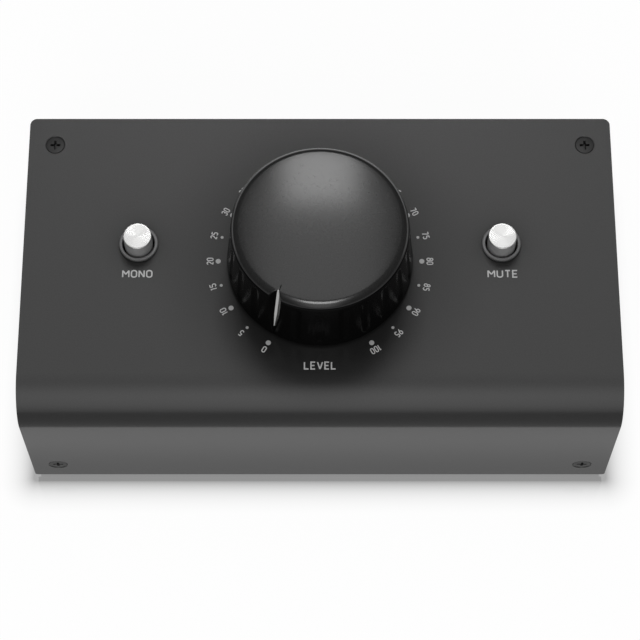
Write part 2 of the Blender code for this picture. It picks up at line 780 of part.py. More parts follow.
def make_ribbon(header_plastic, ribbon_grey):
    """Flat cable between the two boards, with a plug on each of its ends."""
    x, half_plug, half_cable = 0.0270, 0.0076, 0.0064
    plug_height, plug_depth = 0.008, 0.0026
    lower_y = control_board_front + 0.009
    lower_top = panel_z + control_board_top + seat_gap + plug_height
    upper_z = socket_z + 0.0125
    upper_y = connector_board_y - board_thickness / 2 - seat_gap - plug_height
    box(
        "control_board_plug",
        (x - half_plug, lower_y - plug_depth, panel_z + control_board_top + seat_gap),
        (x + half_plug, lower_y + plug_depth, lower_top),
        header_plastic,
        edge=0.0003,
    )
    box(
        "connector_board_plug",
        (x - half_plug, upper_y, upper_z - plug_depth),
        (x + half_plug, upper_y + plug_height, upper_z + plug_depth),
        header_plastic,
        edge=0.0003,
    )
    radius_y, radius_z = upper_y - seat_gap - lower_y, upper_z - lower_top - seat_gap
    steps = 10
    bm = bmesh.new()
    verts = []
    for index in range(steps + 1):
        angle = math.pi / 2 * index / steps
        y = lower_y + radius_y * (1 - math.cos(angle))
        z = lower_top + seat_gap + radius_z * math.sin(angle)
        verts.append(bm.verts.new((x - half_cable, y, z)))
    edges = [bm.edges.new(pair) for pair in zip(verts, verts[1:])]
    swept = bmesh.ops.extrude_edge_only(bm, edges=edges)["geom"]
    moved = [item for item in swept if isinstance(item, bmesh.types.BMVert)]
    bmesh.ops.translate(bm, verts=moved, vec=(2 * half_cable, 0, 0))
    ribbon = from_bmesh("ribbon_cable", bm, ribbon_grey)
    sheet_thickness(ribbon, 0.0009)
    ribbon.modifiers[0].offset = 0


def socket_places():
    """Name and x of the four large sockets on the back."""
    yield from zip(("output_left", "output_right"), output_x)
    yield from zip(("input_left", "input_right"), input_x)


def socket_screw_places(x):
    """The two screws that hold one socket, on opposite corners of its flange."""
    yield "upper", (x - socket_screw_x, wall_y, socket_z + socket_screw_y)
    yield "lower", (x + socket_screw_x, wall_y, socket_z - socket_screw_y)


def socket_shell(name, x, bore_radius, nylon):
    """Flange, round nose and rear block that every large socket shares, with its open cup."""
    place = (x, wall_y, socket_z)
    flange_top = -chassis_thickness - seat_gap
    flange_under = flange_top - flange_thickness
    block_end = -chassis_thickness - socket_depth
    edge = 0.0004
    nose = [(0, nose_stand), (nose_radius - edge, nose_stand), (nose_radius, nose_stand - edge)]
    nose += [(nose_radius, flange_under - 0.001), (0, flange_under - 0.001)]
    shell = turned(name, nose, nylon, place, to_back)
    outline = rounded_rectangle(flange_half_width, flange_half_height, 0.002)
    flange = prism(name + "_flange", outline, flange_under, flange_top, None, place, to_back)
    block_outline = rounded_rectangle(nose_radius, nose_radius + 0.001, 0.0015, 2)
    block = prism(name + "_block", block_outline, block_end, flange_under + 0.0005, None, place, to_back)
    fuse(shell, flange, block)
    mouth, thread_radius = nose_stand + 0.001, 0.0014
    cup = [(0, mouth), (bore_radius, mouth), (bore_radius, -cup_depth), (0, -cup_depth)]
    cut(shell, turned(name + "_cup", cup, None, place, to_back))
    for corner, screw_place in socket_screw_places(x):
        cut(shell, hole(f"{name}_{corner}_thread", thread_radius, screw_place, to_back, reach=0.01, steps=8))
    return shell


def make_outputs(nylon, contact):
    """Two male three-pin sockets."""
    pin_radius, tip = 0.0012, -0.0022
    pins = (("1", 0.00381, 0.00203), ("2", -0.00381, 0.00203), ("3", 0.0, -0.00432))
    keyway_half, keyway_low, keyway_top = 0.0016, -0.0095, -0.0078
    block_end = -chassis_thickness - socket_depth
    for name, x in zip(("output_left", "output_right"), output_x):
        shell = socket_shell(name + "_shell", x, output_cup_radius, nylon)
        for number, across, up in pins:
            place = (x + across, wall_y, socket_z + up)
            room = pin_radius + bore_room
            cut(shell, hole(f"{name}_{number}_room", room, place, to_back, reach=0.04, steps=coarse))
            profile = [(0, tip), (pin_radius * 0.6, tip - 0.0002), (pin_radius, tip - 0.0012)]
            profile += [(pin_radius, block_end), (0, block_end)]
            turned(f"{name}_pin_{number}", profile, contact, place, to_back, steps=coarse)
        low, high = (-keyway_half, keyway_low, -cup_depth), (keyway_half, keyway_top, keyway_half)
        cut(shell, box(name + "_keyway", low, high, None, (x, wall_y, socket_z), to_back))


def make_inputs(nylon, insert_plastic):
    """Two combination sockets: an outer shell, and an insert with the jack bore and three pin holes."""
    bore, insert_radius, edge = jack_bore_radius, 0.00785, 0.0003
    spread, pin_hole_radius = 0.0056, 0.0014
    floor, face = -cup_depth + seat_gap, nose_stand - 0.0008
    for name, x in zip(("input_left", "input_right"), input_x):
        place = (x, wall_y, socket_z)
        shell = socket_shell(name + "_shell", x, input_cup_radius, nylon)
        cut(shell, hole(name + "_tip_room", bore + bore_room, place, to_back, reach=0.04, steps=24))
        profile = [(bore + edge, face), (insert_radius - edge, face), (insert_radius, face - edge)]
        profile += [(insert_radius, floor), (bore, floor), (bore, face - edge)]
        insert = turned(name + "_insert", profile, insert_plastic, place, to_back, 24)
        for number, angle in (("1", 35), ("2", 145), ("3", 270)):
            across = spread * math.cos(math.radians(angle))
            up = spread * math.sin(math.radians(angle))
            pin_place = (x + across, wall_y + face, socket_z + up)
            cut(insert, hole(f"{name}_{number}_hole", pin_hole_radius, pin_place, to_back, 0.011, coarse))


def make_mini_jack(nylon, nickel):
    """3.5 mm stereo socket with a threaded bush and its nut."""
    place = (0, wall_y, socket_z)
    top = mini_bush_stand
    body_top = -chassis_thickness - seat_gap
    body_end = -chassis_thickness - socket_depth
    half_width, half_height, edge = 0.0045, 0.0055, 0.0003
    deep = -0.0155
    low, high = (-half_width, -half_height, body_end), (half_width, half_height, body_top)
    body = box("mini_jack", low, high, nylon, place, to_back, edge)
    bush_profile = [(0, top), (mini_bush_radius - edge, top), (mini_bush_radius, top - edge)]
    bush_profile += [(mini_bush_radius, body_top - 0.001), (0, body_top - 0.001)]
    fuse(body, turned("mini_bush", bush_profile, None, place, to_back, small))
    bore_profile = [(0, top + edge), (mini_bore_radius + 2 * edge, top + edge)]
    bore_profile += [(mini_bore_radius, top - edge), (mini_bore_radius, deep), (0, deep)]
    cut(body, turned("mini_bore", bore_profile, None, place, to_back, small))
    nut_bore, nut_radius, nut_low, nut_top = mini_bush_radius + bore_room, 0.0042, 0.0001, 0.0021
    nut = [(nut_radius - edge, nut_top), (nut_radius, nut_top - edge), (nut_radius, nut_low)]
    nut += [(nut_bore, nut_low), (nut_bore, nut_top)]
    turned("mini_jack_nut", nut, nickel, place, to_back, 16)


def make_socket_screws(black_zinc):
    """Pan-head screws through the rear wall into the sockets' flanges."""
    head, head_height, shank, length, stand = 0.0027, 0.0018, 0.0012, 0.008, 0.0001
    for name, x in socket_places():
        for corner, place in socket_screw_places(x):
            profile = [(0, stand + head_height), (head * 0.6, stand + head_height * 0.9)]
            profile += [(head, stand + head_height * 0.4), (head, stand), (shank, stand)]
            profile += [(shank, -length), (0, -length)]
            turned(f"{name}_screw_{corner}", profile, black_zinc, place, to_back, coarse)


def shade_round():
    for obj in object_collection.objects:
        if obj.type == "MESH" and obj.data.polygons:
            obj.data.shade_smooth()
            obj.data.set_sharp_from_angle(angle=math.radians(35))


def main():
    global object_collection, cutter_collection
    clear_scene()
    object_collection = new_collection("monitor_controller")
    cutter_collection = new_collection("cutters")

    cover_paint = finish("cover_paint", (0.06, 0.06, 0.062), 0.5)
    chassis_paint = finish("chassis_paint", (0.025, 0.025, 0.027), 0.55)
    black_zinc = finish("black_screw", (0.03, 0.03, 0.03), 0.4, 0.8)
    rubber = finish("foot_rubber", (0.02, 0.02, 0.02), 0.85)
    knob_plastic = finish("knob_plastic", (0.018, 0.018, 0.019), 0.35)
    pointer_white = finish("pointer_white", (0.75, 0.75, 0.73), 0.45)
    chrome = finish("button_metal", (0.85, 0.85, 0.86), 0.2, 1.0)
    ring_plastic = finish("ring_plastic", (0.05, 0.05, 0.052), 0.4)
    nylon = finish("black_nylon", (0.015, 0.015, 0.016), 0.5)
    insert_plastic = finish("insert_plastic", (0.03, 0.03, 0.032), 0.45)
    housing_metal = finish("pot_housing_metal", (0.5, 0.5, 0.48), 0.45, 1.0)
    zinc = finish("zinc_plate", (0.6, 0.6, 0.6), 0.35, 1.0)
    steel = finish("bright_steel", (0.7, 0.7, 0.7), 0.3, 1.0)
    spring_steel = finish("spring_wire", (0.55, 0.55, 0.56), 0.3, 1.0)
    laminate = finish("board_laminate", (0.02, 0.12, 0.04), 0.4)
    brass = finish("standoff_brass", (0.8, 0.62, 0.3), 0.35, 1.0)
    ribbon_grey = finish("ribbon_grey", (0.35, 0.35, 0.36), 0.6)
    contact = finish("contact_plate", (0.8, 0.78, 0.72), 0.25, 1.0)

    make_cover(cover_paint)
    make_chassis(chassis_paint)
    make_cover_screws(black_zinc)
    make_feet(rubber)
    make_knob(knob_plastic)
    make_pointer(pointer_white)
    make_potentiometer(steel, zinc, housing_metal)
    make_pot_nut(zinc, steel)
    for side_name, x in (("mono", -button_x), ("mute", button_x)):
        make_button(side_name, x, chrome, ring_plastic, nylon, spring_steel)
    make_boards(laminate)
    make_standoffs(brass, zinc)
    make_ribbon(nylon, ribbon_grey)
    make_outputs(nylon, contact)
    make_inputs(nylon, insert_plastic)
    make_mini_jack(nylon, zinc)
    make_socket_screws(black_zinc)
    shade_round()


main()
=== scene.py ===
# Looks of the studio monitor controller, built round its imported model. Metres, front along -Y.

import math

import bmesh
import bpy
from mathutils import Matrix, Vector


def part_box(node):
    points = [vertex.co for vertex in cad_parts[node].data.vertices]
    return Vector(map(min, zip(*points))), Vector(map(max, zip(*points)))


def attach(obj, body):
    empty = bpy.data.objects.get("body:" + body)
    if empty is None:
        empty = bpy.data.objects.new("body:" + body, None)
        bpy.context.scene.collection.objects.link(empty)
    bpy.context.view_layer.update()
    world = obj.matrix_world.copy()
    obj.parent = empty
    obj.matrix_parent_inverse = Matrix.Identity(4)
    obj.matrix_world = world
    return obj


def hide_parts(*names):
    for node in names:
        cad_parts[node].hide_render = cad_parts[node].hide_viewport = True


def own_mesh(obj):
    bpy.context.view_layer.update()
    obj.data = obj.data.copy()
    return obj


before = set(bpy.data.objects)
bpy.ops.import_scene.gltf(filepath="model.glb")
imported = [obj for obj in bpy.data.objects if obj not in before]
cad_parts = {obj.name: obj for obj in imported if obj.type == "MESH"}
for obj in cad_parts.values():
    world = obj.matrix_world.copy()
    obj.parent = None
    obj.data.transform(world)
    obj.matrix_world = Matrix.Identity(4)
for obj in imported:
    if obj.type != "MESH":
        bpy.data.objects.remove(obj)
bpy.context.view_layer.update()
print("frame loaded:", len(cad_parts), "nodes")

toBack = Matrix.Rotation(-math.pi / 2, 4, "X")    # a piece's own +Z turned to the back
toFront = Matrix.Rotation(math.pi / 2, 4, "X")
shift = Matrix.Translation


def middle(node):
    return sum(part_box(node), Vector()) / 2


coverLow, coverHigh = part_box("top_cover")
chassisLow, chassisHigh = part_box("base_chassis")
knobLow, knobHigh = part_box("knob_body")
panelZ = coverHigh.z
knobCentre = Vector((middle("knob_body").x, middle("knob_body").y, panelZ))
wallY = chassisHigh.y
pointerAngle = math.radians(-120)    # 30 degrees left of the front, at 0 on the dial


# Helpers for nodes and colours

def hexColour(text):
    # sRGB hex to the linear colour that a socket takes
    channels = [channel / 255 for channel in bytes.fromhex(text[1:])]
    linear = [c / 12.92 if c <= 0.04045 else ((c + 0.055) / 1.055) ** 2.4 for c in channels]
    return (*linear, 1.0)


def addNode(tree, kind, settings=None):
    # a setting is a property or an input of the node, and an input takes a value or another node's output
    node = tree.nodes.new(kind)
    for key, value in (settings or {}).items():
        if isinstance(value, bpy.types.NodeSocket):
            tree.links.new(value, node.inputs[key])
        elif isinstance(key, str) and hasattr(node, key):
            setattr(node, key, value)
        else:
            node.inputs[key].default_value = value
    return node


def newMaterial(name, settings, colours, grain, roughness, bump, stretch=None):
    # grain is the size in metres of one fleck, bump the height of the relief in metres
    material = bpy.data.materials.new(name)
    material.use_nodes = True
    tree = material.node_tree
    shader = tree.nodes["Principled BSDF"]
    for key, value in settings.items():
        shader.inputs[key].default_value = value
    source = addNode(tree, "ShaderNodeTexCoord").outputs["Object"]
    if stretch:
        source = addNode(tree, "ShaderNodeMapping", {"Scale": stretch, "Vector": source}).outputs[0]
    noise = addNode(tree, "ShaderNodeTexNoise", {"Scale": 1 / grain, "Detail": 3.0, "Vector": source})
    flecks = noise.outputs["Fac"]
    tint = addNode(tree, "ShaderNodeMix", {"data_type": "RGBA", "Factor": flecks, 6: hexColour(colours[0]),
                                           7: hexColour(colours[1])})
    finish = addNode(tree, "ShaderNodeMapRange", {"Value": flecks, "From Min": 0.3, "From Max": 0.7,
                                                  "To Min": roughness[0], "To Max": roughness[1]})
    tree.links.new(tint.outputs[2], shader.inputs["Base Color"])
    tree.links.new(finish.outputs[0], shader.inputs["Roughness"])
    if bump:
        relief = addNode(tree, "ShaderNodeBump", {"Distance": bump, "Height": flecks})
        tree.links.new(relief.outputs["Normal"], shader.inputs["Normal"])
    return material


def shelter(material, reach, fadeIn, specular):
    # painted shade: an occlusion mask darkens the coat's colour and sheen where things stand close by on the panel, all
    # round and not only in the mirror direction
    tree = material.node_tree
    shader = tree.nodes["Principled BSDF"]
    openness = addNode(tree, "ShaderNodeAmbientOcclusion", {"samples": 8, "Distance": reach}).outputs["AO"]
    place = addNode(tree, "ShaderNodeTexCoord").outputs["Object"]
    height = addNode(tree, "ShaderNodeSeparateXYZ", {"Vector": place}).outputs["Z"]
    level = addNode(tree, "ShaderNodeMapRange", {"Value": height, "From Min": panelZ - fadeIn[0],
                                                 "From Max": panelZ - fadeIn[1]}).outputs[0]
    share = addNode(tree, "ShaderNodeMix", {"data_type": "FLOAT", "Factor": level, 2: 1.0, 3: openness}).outputs[0]
    sheen = addNode(tree, "ShaderNodeMath", {"operation": "MULTIPLY", 0: share, 1: specular})
    tree.links.new(sheen.outputs[0], shader.inputs["Specular IOR Level"])
    tint = shader.inputs["Base Color"].links[0].from_socket
    shadeDimmed = addNode(tree, "ShaderNodeVectorMath", {"operation": "SCALE", "Vector": tint, "Scale": share})
    tree.links.new(shadeDimmed.outputs[0], shader.inputs["Base Color"])


# Materials

# Powder-coated steel: cured dust leaves a fine orange peel, about 0.4 mm from crest to crest. A painted shade darkens
# the coat 24 mm round the knob, on the flat panel only and not on the bend.
coverPaint = newMaterial("powderCoatedSteel", {"IOR": 1.5}, ("#373737", "#404040"), 0.0004, (0.19, 0.25), 0.000012)
shelter(coverPaint, reach=0.024, fadeIn=(0.006, 0.0002), specular=0.5)

# The same coat in black on the chassis, coarser and duller.
chassisPaint = newMaterial("blackPowderCoatedSteel", {"IOR": 1.5}, ("#1b1c1d", "#222324"), 0.0006, (0.5, 0.62), 0.00002)

# Soft-touch lacquer on the knob's top: an even matte film with a broad, dull sheen.
softTouch = newMaterial("softTouchLacquer", {"IOR": 1.5}, ("#1d1d1d", "#222222"), 0.0012, (0.2, 0.22), 0)

# The lacquer's lower edge in a paler colour: a painted highlight line round the knob's rim.
paintedHighlightEdge = newMaterial("paintedHighlightEdge", {"IOR": 1.5, "Specular IOR Level": 0.28}, ("#2b2b2c", "#333334"), 0.0009,
                          (0.3, 0.35), 0)

# Gloss ABS on the knob's side, as moulded in a polished tool. Its sheen is held down, a painted shade: the studio's
# bright front would show in it, where the real side stays black.
glossAbs = newMaterial("polishedBlackAbs", {"IOR": 1.52, "Specular IOR Level": 0.05}, ("#080808", "#0b0b0b"), 0.004,
                       (0.19, 0.21), 0)

# White ABS of the pointer, moulded satin.
whiteAbs = newMaterial("satinWhiteAbs", {"IOR": 1.5}, ("#dededc", "#e8e8e6"), 0.0012, (0.35, 0.45), 0.000002)

# Satin ABS of the bezel rings.
ringAbs = newMaterial("satinGreyAbs", {"IOR": 1.5}, ("#656566", "#6e6e6e"), 0.0008, (0.3, 0.38), 0.000003)

# Nickel-plated turned brass of the caps: the tool's fine rings draw the light out into fans.
capNickel = newMaterial("turnedNickel", {"Metallic": 1.0, "Anisotropic": 0.85}, ("#e9e9e8", "#eeeeed"), 0.003,
                        (0.25, 0.27), 0)
turning = addNode(capNickel.node_tree, "ShaderNodeTangent", {"direction_type": "RADIAL", "axis": "Z"})
capNickel.node_tree.links.new(turning.outputs[0], capNickel.node_tree.nodes["Principled BSDF"].inputs["Tangent"])

# The same plating on the caps' sides, duller, because only the face was finished.
capSide = newMaterial("satinNickel", {"Metallic": 0.5}, ("#d6d6d6", "#dfdfdf"), 0.0012, (0.45, 0.55), 0)

# Black zinc on the screws: a dark, slightly mottled metal.
blackZinc = newMaterial("blackZincSteel", {"Metallic": 0.6}, ("#4a4a4a", "#575757"), 0.0008, (0.4, 0.52), 0.000003)

# Moulded rubber of the feet, with the dull bloom of a sandblasted tool.
footRubber = newMaterial("mouldedRubber", {"IOR": 1.5}, ("#171717", "#1f1f1f"), 0.0005, (0.7, 0.85), 0.00001)

# Glass-filled nylon of the sockets: short fibres give a fine uneven skin.
blackNylon = newMaterial("glassFilledNylon", {"IOR": 1.53}, ("#121213", "#19191a"), 0.0005, (0.38, 0.52), 0.000006)

# PBT of the combination inserts, smoother and a little lighter than the nylon.
insertPbt = newMaterial("mouldedPbt", {"IOR": 1.5}, ("#1d1d1f", "#232325"), 0.0008, (0.3, 0.4), 0.000003)

# Silver plate on the contact pins.
silverPlate = newMaterial("silverPlatedBrass", {"Metallic": 1.0}, ("#d9d6ce", "#e6e3dc"), 0.001, (0.2, 0.32), 0)

# Nickel plate on the mini jack's nut.
nutNickel = newMaterial("nickelPlatedBrass", {"Metallic": 1.0}, ("#c4c2bd", "#d2d0cb"), 0.001, (0.22, 0.34), 0)

# Zinc plate on the potentiometer's metal and the inner screws, with its faint spangle.
zincPlate = newMaterial("zincPlatedSteel", {"Metallic": 1.0}, ("#a9acae", "#bfc2c4"), 0.0012, (0.3, 0.45), 0.000002)

# Turned bright steel of the shaft and washer: fine rings across the axis.
turnedSteel = newMaterial("turnedSteel", {"Metallic": 1.0}, ("#b8b9ba", "#cbccce"), 0.0006, (0.22, 0.36), 0.000002,
                          stretch=(0.2, 0.2, 4.0))

# Drawn spring wire, mottled by the drawing die.
springWire = newMaterial("drawnSpringWire", {"Metallic": 1.0}, ("#8f9092", "#a9aaac"), 0.0004, (0.25, 0.4), 0)

# Brass of the hexagonal pillars, drawn bar with streaks along it.
drawnBrass = newMaterial("drawnBrass", {"Metallic": 1.0}, ("#b3914b", "#c7a65e"), 0.0006, (0.28, 0.4), 0.000002,
                         stretch=(4.0, 4.0, 0.3))

# Glass laminate under green solder mask: the weave shows as a faint 0.5 mm mottle.
laminate = newMaterial("solderMaskedLaminate", {"IOR": 1.55}, ("#12401f", "#184d28"), 0.0005, (0.25, 0.4), 0.000004)

# PVC of the ribbon cable, its ten conductors 1.27 mm apart across X.
ribbonPvc = newMaterial("ribbedPvc", {"IOR": 1.5}, ("#8b8d90", "#9b9da0"), 0.001, (0.45, 0.55), 0)
ribTree, conductorPitch = ribbonPvc.node_tree, 0.00127
across = addNode(ribTree, "ShaderNodeTexCoord").outputs["Object"]
ribs = addNode(ribTree, "ShaderNodeTexWave", {"Scale": 1 / conductorPitch / math.pi, "Vector": across})
ribRelief = addNode(ribTree, "ShaderNodeBump", {"Distance": 0.0002, "Height": ribs.outputs["Fac"]})
ribTree.links.new(ribRelief.outputs["Normal"], ribTree.nodes["Principled BSDF"].inputs["Normal"])

# Screen-printed ink of the numbers and words: dry, and a little uneven in tone.
printInk = newMaterial("screenPrintInk", {"IOR": 1.45}, ("#bcbcbc", "#c8c8c8"), 0.0005, (0.6, 0.7), 0)

# The dots' ink, thinned a little more.
dotInk = newMaterial("thinnedPrintInk", {"IOR": 1.45}, ("#acacac", "#b8b8b8"), 0.0005, (0.6, 0.7), 0)
print("materials made:", len(bpy.data.materials))


# Helpers for meshes

def fillet(points, steps=4):
    # points are (r, z, radius): the outline with each corner rounded to its radius
    path = []
    for i, (r, z, radius) in enumerate(points):
        corner = Vector((r, z))
        if radius == 0 or i in (0, len(points) - 1):
            path.append(corner)
            continue
        back = (Vector(points[i - 1][:2]) - corner).normalized()
        ahead = (Vector(points[i + 1][:2]) - corner).normalized()
        half = back.angle(ahead) / 2
        reach = radius / math.tan(half)
        centre = corner + (back + ahead).normalized() * radius / math.sin(half)
        first = corner + back * reach - centre
        last = corner + ahead * reach - centre
        sweep = first.angle_signed(last)
        for step in range(steps + 1):
            turn = Matrix.Rotation(-sweep * step / steps, 2)
            path.append(centre + turn @ first)
    return path


def spun(points, steps, closed=False):
    # a turned shape about Z from an outline in r and z
    bm = bmesh.new()
    verts = [bm.verts.new((r, 0, z)) for r, z in points]
    pairs = list(zip(verts, verts[1:]))
    if closed:
        pairs.append((verts[-1], verts[0]))
    edges = [bm.edges.new(pair) for pair in pairs]
    bmesh.ops.spin(bm, geom=verts + edges, axis=(0, 0, 1), cent=(0, 0, 0), angle=math.tau, steps=steps, use_merge=True)
    bmesh.ops.remove_doubles(bm, verts=bm.verts, dist=1e-7)
    bmesh.ops.recalc_face_normals(bm, faces=bm.faces)
    return bm


def block(bm, low, high, matrix=None):
    low, high = Vector(low), Vector(high)
    place = shift((low + high) / 2) @ Matrix.Diagonal((*(high - low), 1))
    return bmesh.ops.create_cube(bm, size=1.0, matrix=(matrix or Matrix()) @ place)["verts"]


def drawOut(bm, swept, vec):
    # the new vertices of an extrusion move away from the old ones
    bmesh.ops.translate(bm, verts=[v for v in swept["geom"] if isinstance(v, bmesh.types.BMVert)], vec=vec)


def plate(outline, low, high):
    # a flat outline in X and Y with a thickness along Z
    bm = bmesh.new()
    face = bm.faces.new([bm.verts.new((x, y, low)) for x, y in outline])
    drawOut(bm, bmesh.ops.extrude_face_region(bm, geom=[face]), (0, 0, high - low))
    bmesh.ops.recalc_face_normals(bm, faces=bm.faces)
    return bm


def roundedOutline(halfWidth, halfHeight, radius, steps=6):
    points = []
    for sideX, sideY, start in ((1, 1, 0), (-1, 1, 90), (-1, -1, 180), (1, -1, 270)):
        for step in range(steps + 1):
            angle = math.radians(start + 90 * step / steps)
            points.append((sideX * (halfWidth - radius) + radius * math.cos(angle),
                           sideY * (halfHeight - radius) + radius * math.sin(angle)))
    return points


def toObject(name, bm, place=None):
    if place is not None:
        bmesh.ops.transform(bm, matrix=place, verts=bm.verts)
    mesh = bpy.data.meshes.new(name)
    bm.to_mesh(mesh)
    bm.free()
    obj = bpy.data.objects.new(name, mesh)
    bpy.context.scene.collection.objects.link(obj)
    return obj


def cutAndJoin(obj, cutters=(), joined=()):
    # Boolean cuts and unions, settled into the piece's own mesh
    for other in joined:
        modifier = obj.modifiers.new("Join", "BOOLEAN")
        modifier.operation, modifier.object = "UNION", other
    for other in cutters:
        modifier = obj.modifiers.new("Cut", "BOOLEAN")
        modifier.operation, modifier.object = "DIFFERENCE", other
    graph = bpy.context.evaluated_depsgraph_get()
    mesh = bpy.data.meshes.new_from_object(obj.evaluated_get(graph))
    obj.modifiers.clear()
    obj.data = mesh
    for other in (*joined, *cutters):
        bpy.data.objects.remove(other)
    return obj


def thicken(obj, thickness, offset):
    wall = obj.modifiers.new("Thickness", "SOLIDIFY")
    wall.thickness, wall.offset, wall.use_even_offset = thickness, offset, True


def softenEdges(obj, width, segments=2, angle=40):
    bevel = obj.modifiers.new("Soft edges", "BEVEL")
    bevel.width, bevel.segments = width, segments
    bevel.limit_method, bevel.angle_limit = "ANGLE", math.radians(angle)
    even = obj.modifiers.new("Even shading", "WEIGHTED_NORMAL")
    even.keep_sharp = True


def take(settings, names):
    # several values of a piece's settings at once
    return [settings[name] for name in names.split()]


def finishPiece(obj, material, nodes=(), body="case", sharp=35):
    if obj.data.materials:
        obj.data.materials.clear()
    obj.data.materials.append(material)
    obj.data.shade_smooth()
    if sharp:
        obj.data.set_sharp_from_angle(angle=math.radians(sharp))
    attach(obj, body)
    if nodes:
        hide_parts(*nodes)
    return obj


# Cover

cover = {"thickness": 0.0015, "bendRadius": 0.0113, "bendSteps": 32, "backCorner": 0.0019, "frontCorner": 0.0008,
         "softEdge": 0.00018, "shaftHole": 0.0036, "ringHole": 0.0048, "sinkMouth": 0.00276, "sinkClear": 0.0017,
         "sinkDepth": 0.00106}
screwNodes = {name: middle(name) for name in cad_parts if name.startswith("cover_screw_")}
ringNodes = {name: middle(name) for name in ("mono_ring", "mute_ring")}


def surfacePlace(name):
    # where a cover screw's axis meets the cover's outer face
    centre = screwNodes[name]
    if "rear" in name:
        return shift((centre.x, centre.y, panelZ))
    return shift((centre.x, coverLow.y, centre.z)) @ toFront


def roundHole(radius, place, reach=0.006, steps=64):
    return toObject("hole", spun([(0, reach), (radius, reach), (radius, -reach), (0, -reach)], steps), place)


def makeCover():
    bm = bmesh.new()
    half = coverHigh.x
    side = [(coverHigh.y, panelZ), (coverLow.y, panelZ), (coverLow.y, coverLow.z)]
    verts = [bm.verts.new((-half, y, z)) for y, z in side]
    edges = [bm.edges.new(pair) for pair in zip(verts, verts[1:])]
    drawOut(bm, bmesh.ops.extrude_edge_only(bm, edges=edges), (2 * half, 0, 0))
    fold = [e for e in bm.edges if len(e.link_faces) == 2]
    bmesh.ops.bevel(bm, geom=fold, offset=cover["bendRadius"], segments=cover["bendSteps"], profile=0.5,
                    affect="EDGES", material=-1)
    ends = ((cover["backCorner"], coverHigh.z), (cover["frontCorner"], coverLow.z))
    for radius, height in ends:
        corners = [v for v in bm.verts if len(v.link_edges) == 2 and abs(v.co.z - height) < 1e-5]
        bmesh.ops.bevel(bm, geom=corners, offset=radius, segments=8, profile=0.5, affect="VERTICES", material=-1)
    bmesh.ops.recalc_face_normals(bm, faces=bm.faces)
    top = max(bm.faces, key=lambda face: face.calc_center_median().z)
    if top.normal.z < 0:
        bmesh.ops.reverse_faces(bm, faces=bm.faces)
    obj = toObject("topCover", bm)
    thicken(obj, cover["thickness"], -1)
    cutters = [roundHole(cover["shaftHole"], shift(knobCentre))]
    for centre in ringNodes.values():
        cutters.append(roundHole(cover["ringHole"], shift((centre.x, centre.y, panelZ))))
    above, below = 0.001, -0.005    # how far the cutters reach past the sheet
    sink = [(0, above), (cover["sinkMouth"] + above, above), (cover["sinkClear"], -cover["sinkDepth"]),
            (cover["sinkClear"], below), (0, below)]
    for name in screwNodes:
        cutters.append(toObject("sink", spun(sink, 64), surfacePlace(name)))
    cutAndJoin(obj, cutters)
    finishPiece(obj, coverPaint, ["top_cover"])
    softenEdges(obj, cover["softEdge"])


makeCover()
print("cover made")


# Screws of the cover

coverScrew = {"head": 0.00256, "shank": 0.0015, "length": 0.007, "sunk": 0.0001, "edge": 0.00008,
              "slotLength": 0.0016, "slotWidth": 0.0004, "slotDepth": 0.0014, "slotTaper": 0.7}


def crossCutters(place, size):
    cutters = []
    length, width, deep, taper = take(size, "slotLength slotWidth slotDepth slotTaper")
    for x, y in ((length, width), (width, length)):
        bm = bmesh.new()
        block(bm, (-x, -y, -deep), (x, y, deep))
        bmesh.ops.scale(bm, verts=[v for v in bm.verts if v.co.z < 0], vec=(taper, taper, 1))
        cutters.append(toObject("slot", bm, place))
    return cutters


def makeCoverScrews():
    head, shank, sunk, length, edge = take(coverScrew, "head shank sunk length edge")
    outline = fillet([(0, -sunk, 0), (head, -sunk, edge), (shank, -sunk - head + shank, 0.0002),
                      (shank, -length, 0.0003), (0, -length, 0)])
    for name in screwNodes:
        place = surfacePlace(name)
        obj = toObject(name.replace("cover_screw", "coverScrew"), spun(outline, 64), place)
        slotPlace = place @ shift((0, 0, -sunk))
        cutAndJoin(obj, crossCutters(slotPlace, coverScrew))
        finishPiece(obj, blackZinc, [name])


makeCoverScrews()
print("cover screws made")


# Chassis

chassis = {"thickness": 0.0012, "foldRadius": 0.0018, "lipDepth": 0.014, "relief": 0.0012, "frontCorner": 0.0095,
           "softEdge": 0.00012, "socketHole": 0.012, "miniHole": 0.0031, "screwHole": 0.0016, "thread": 0.0017}
socketNames = ("output_left", "output_right", "input_left", "input_right")


def socketPlace(node):
    centre = middle(node)
    return shift((centre.x, wallY, centre.z)) @ toBack


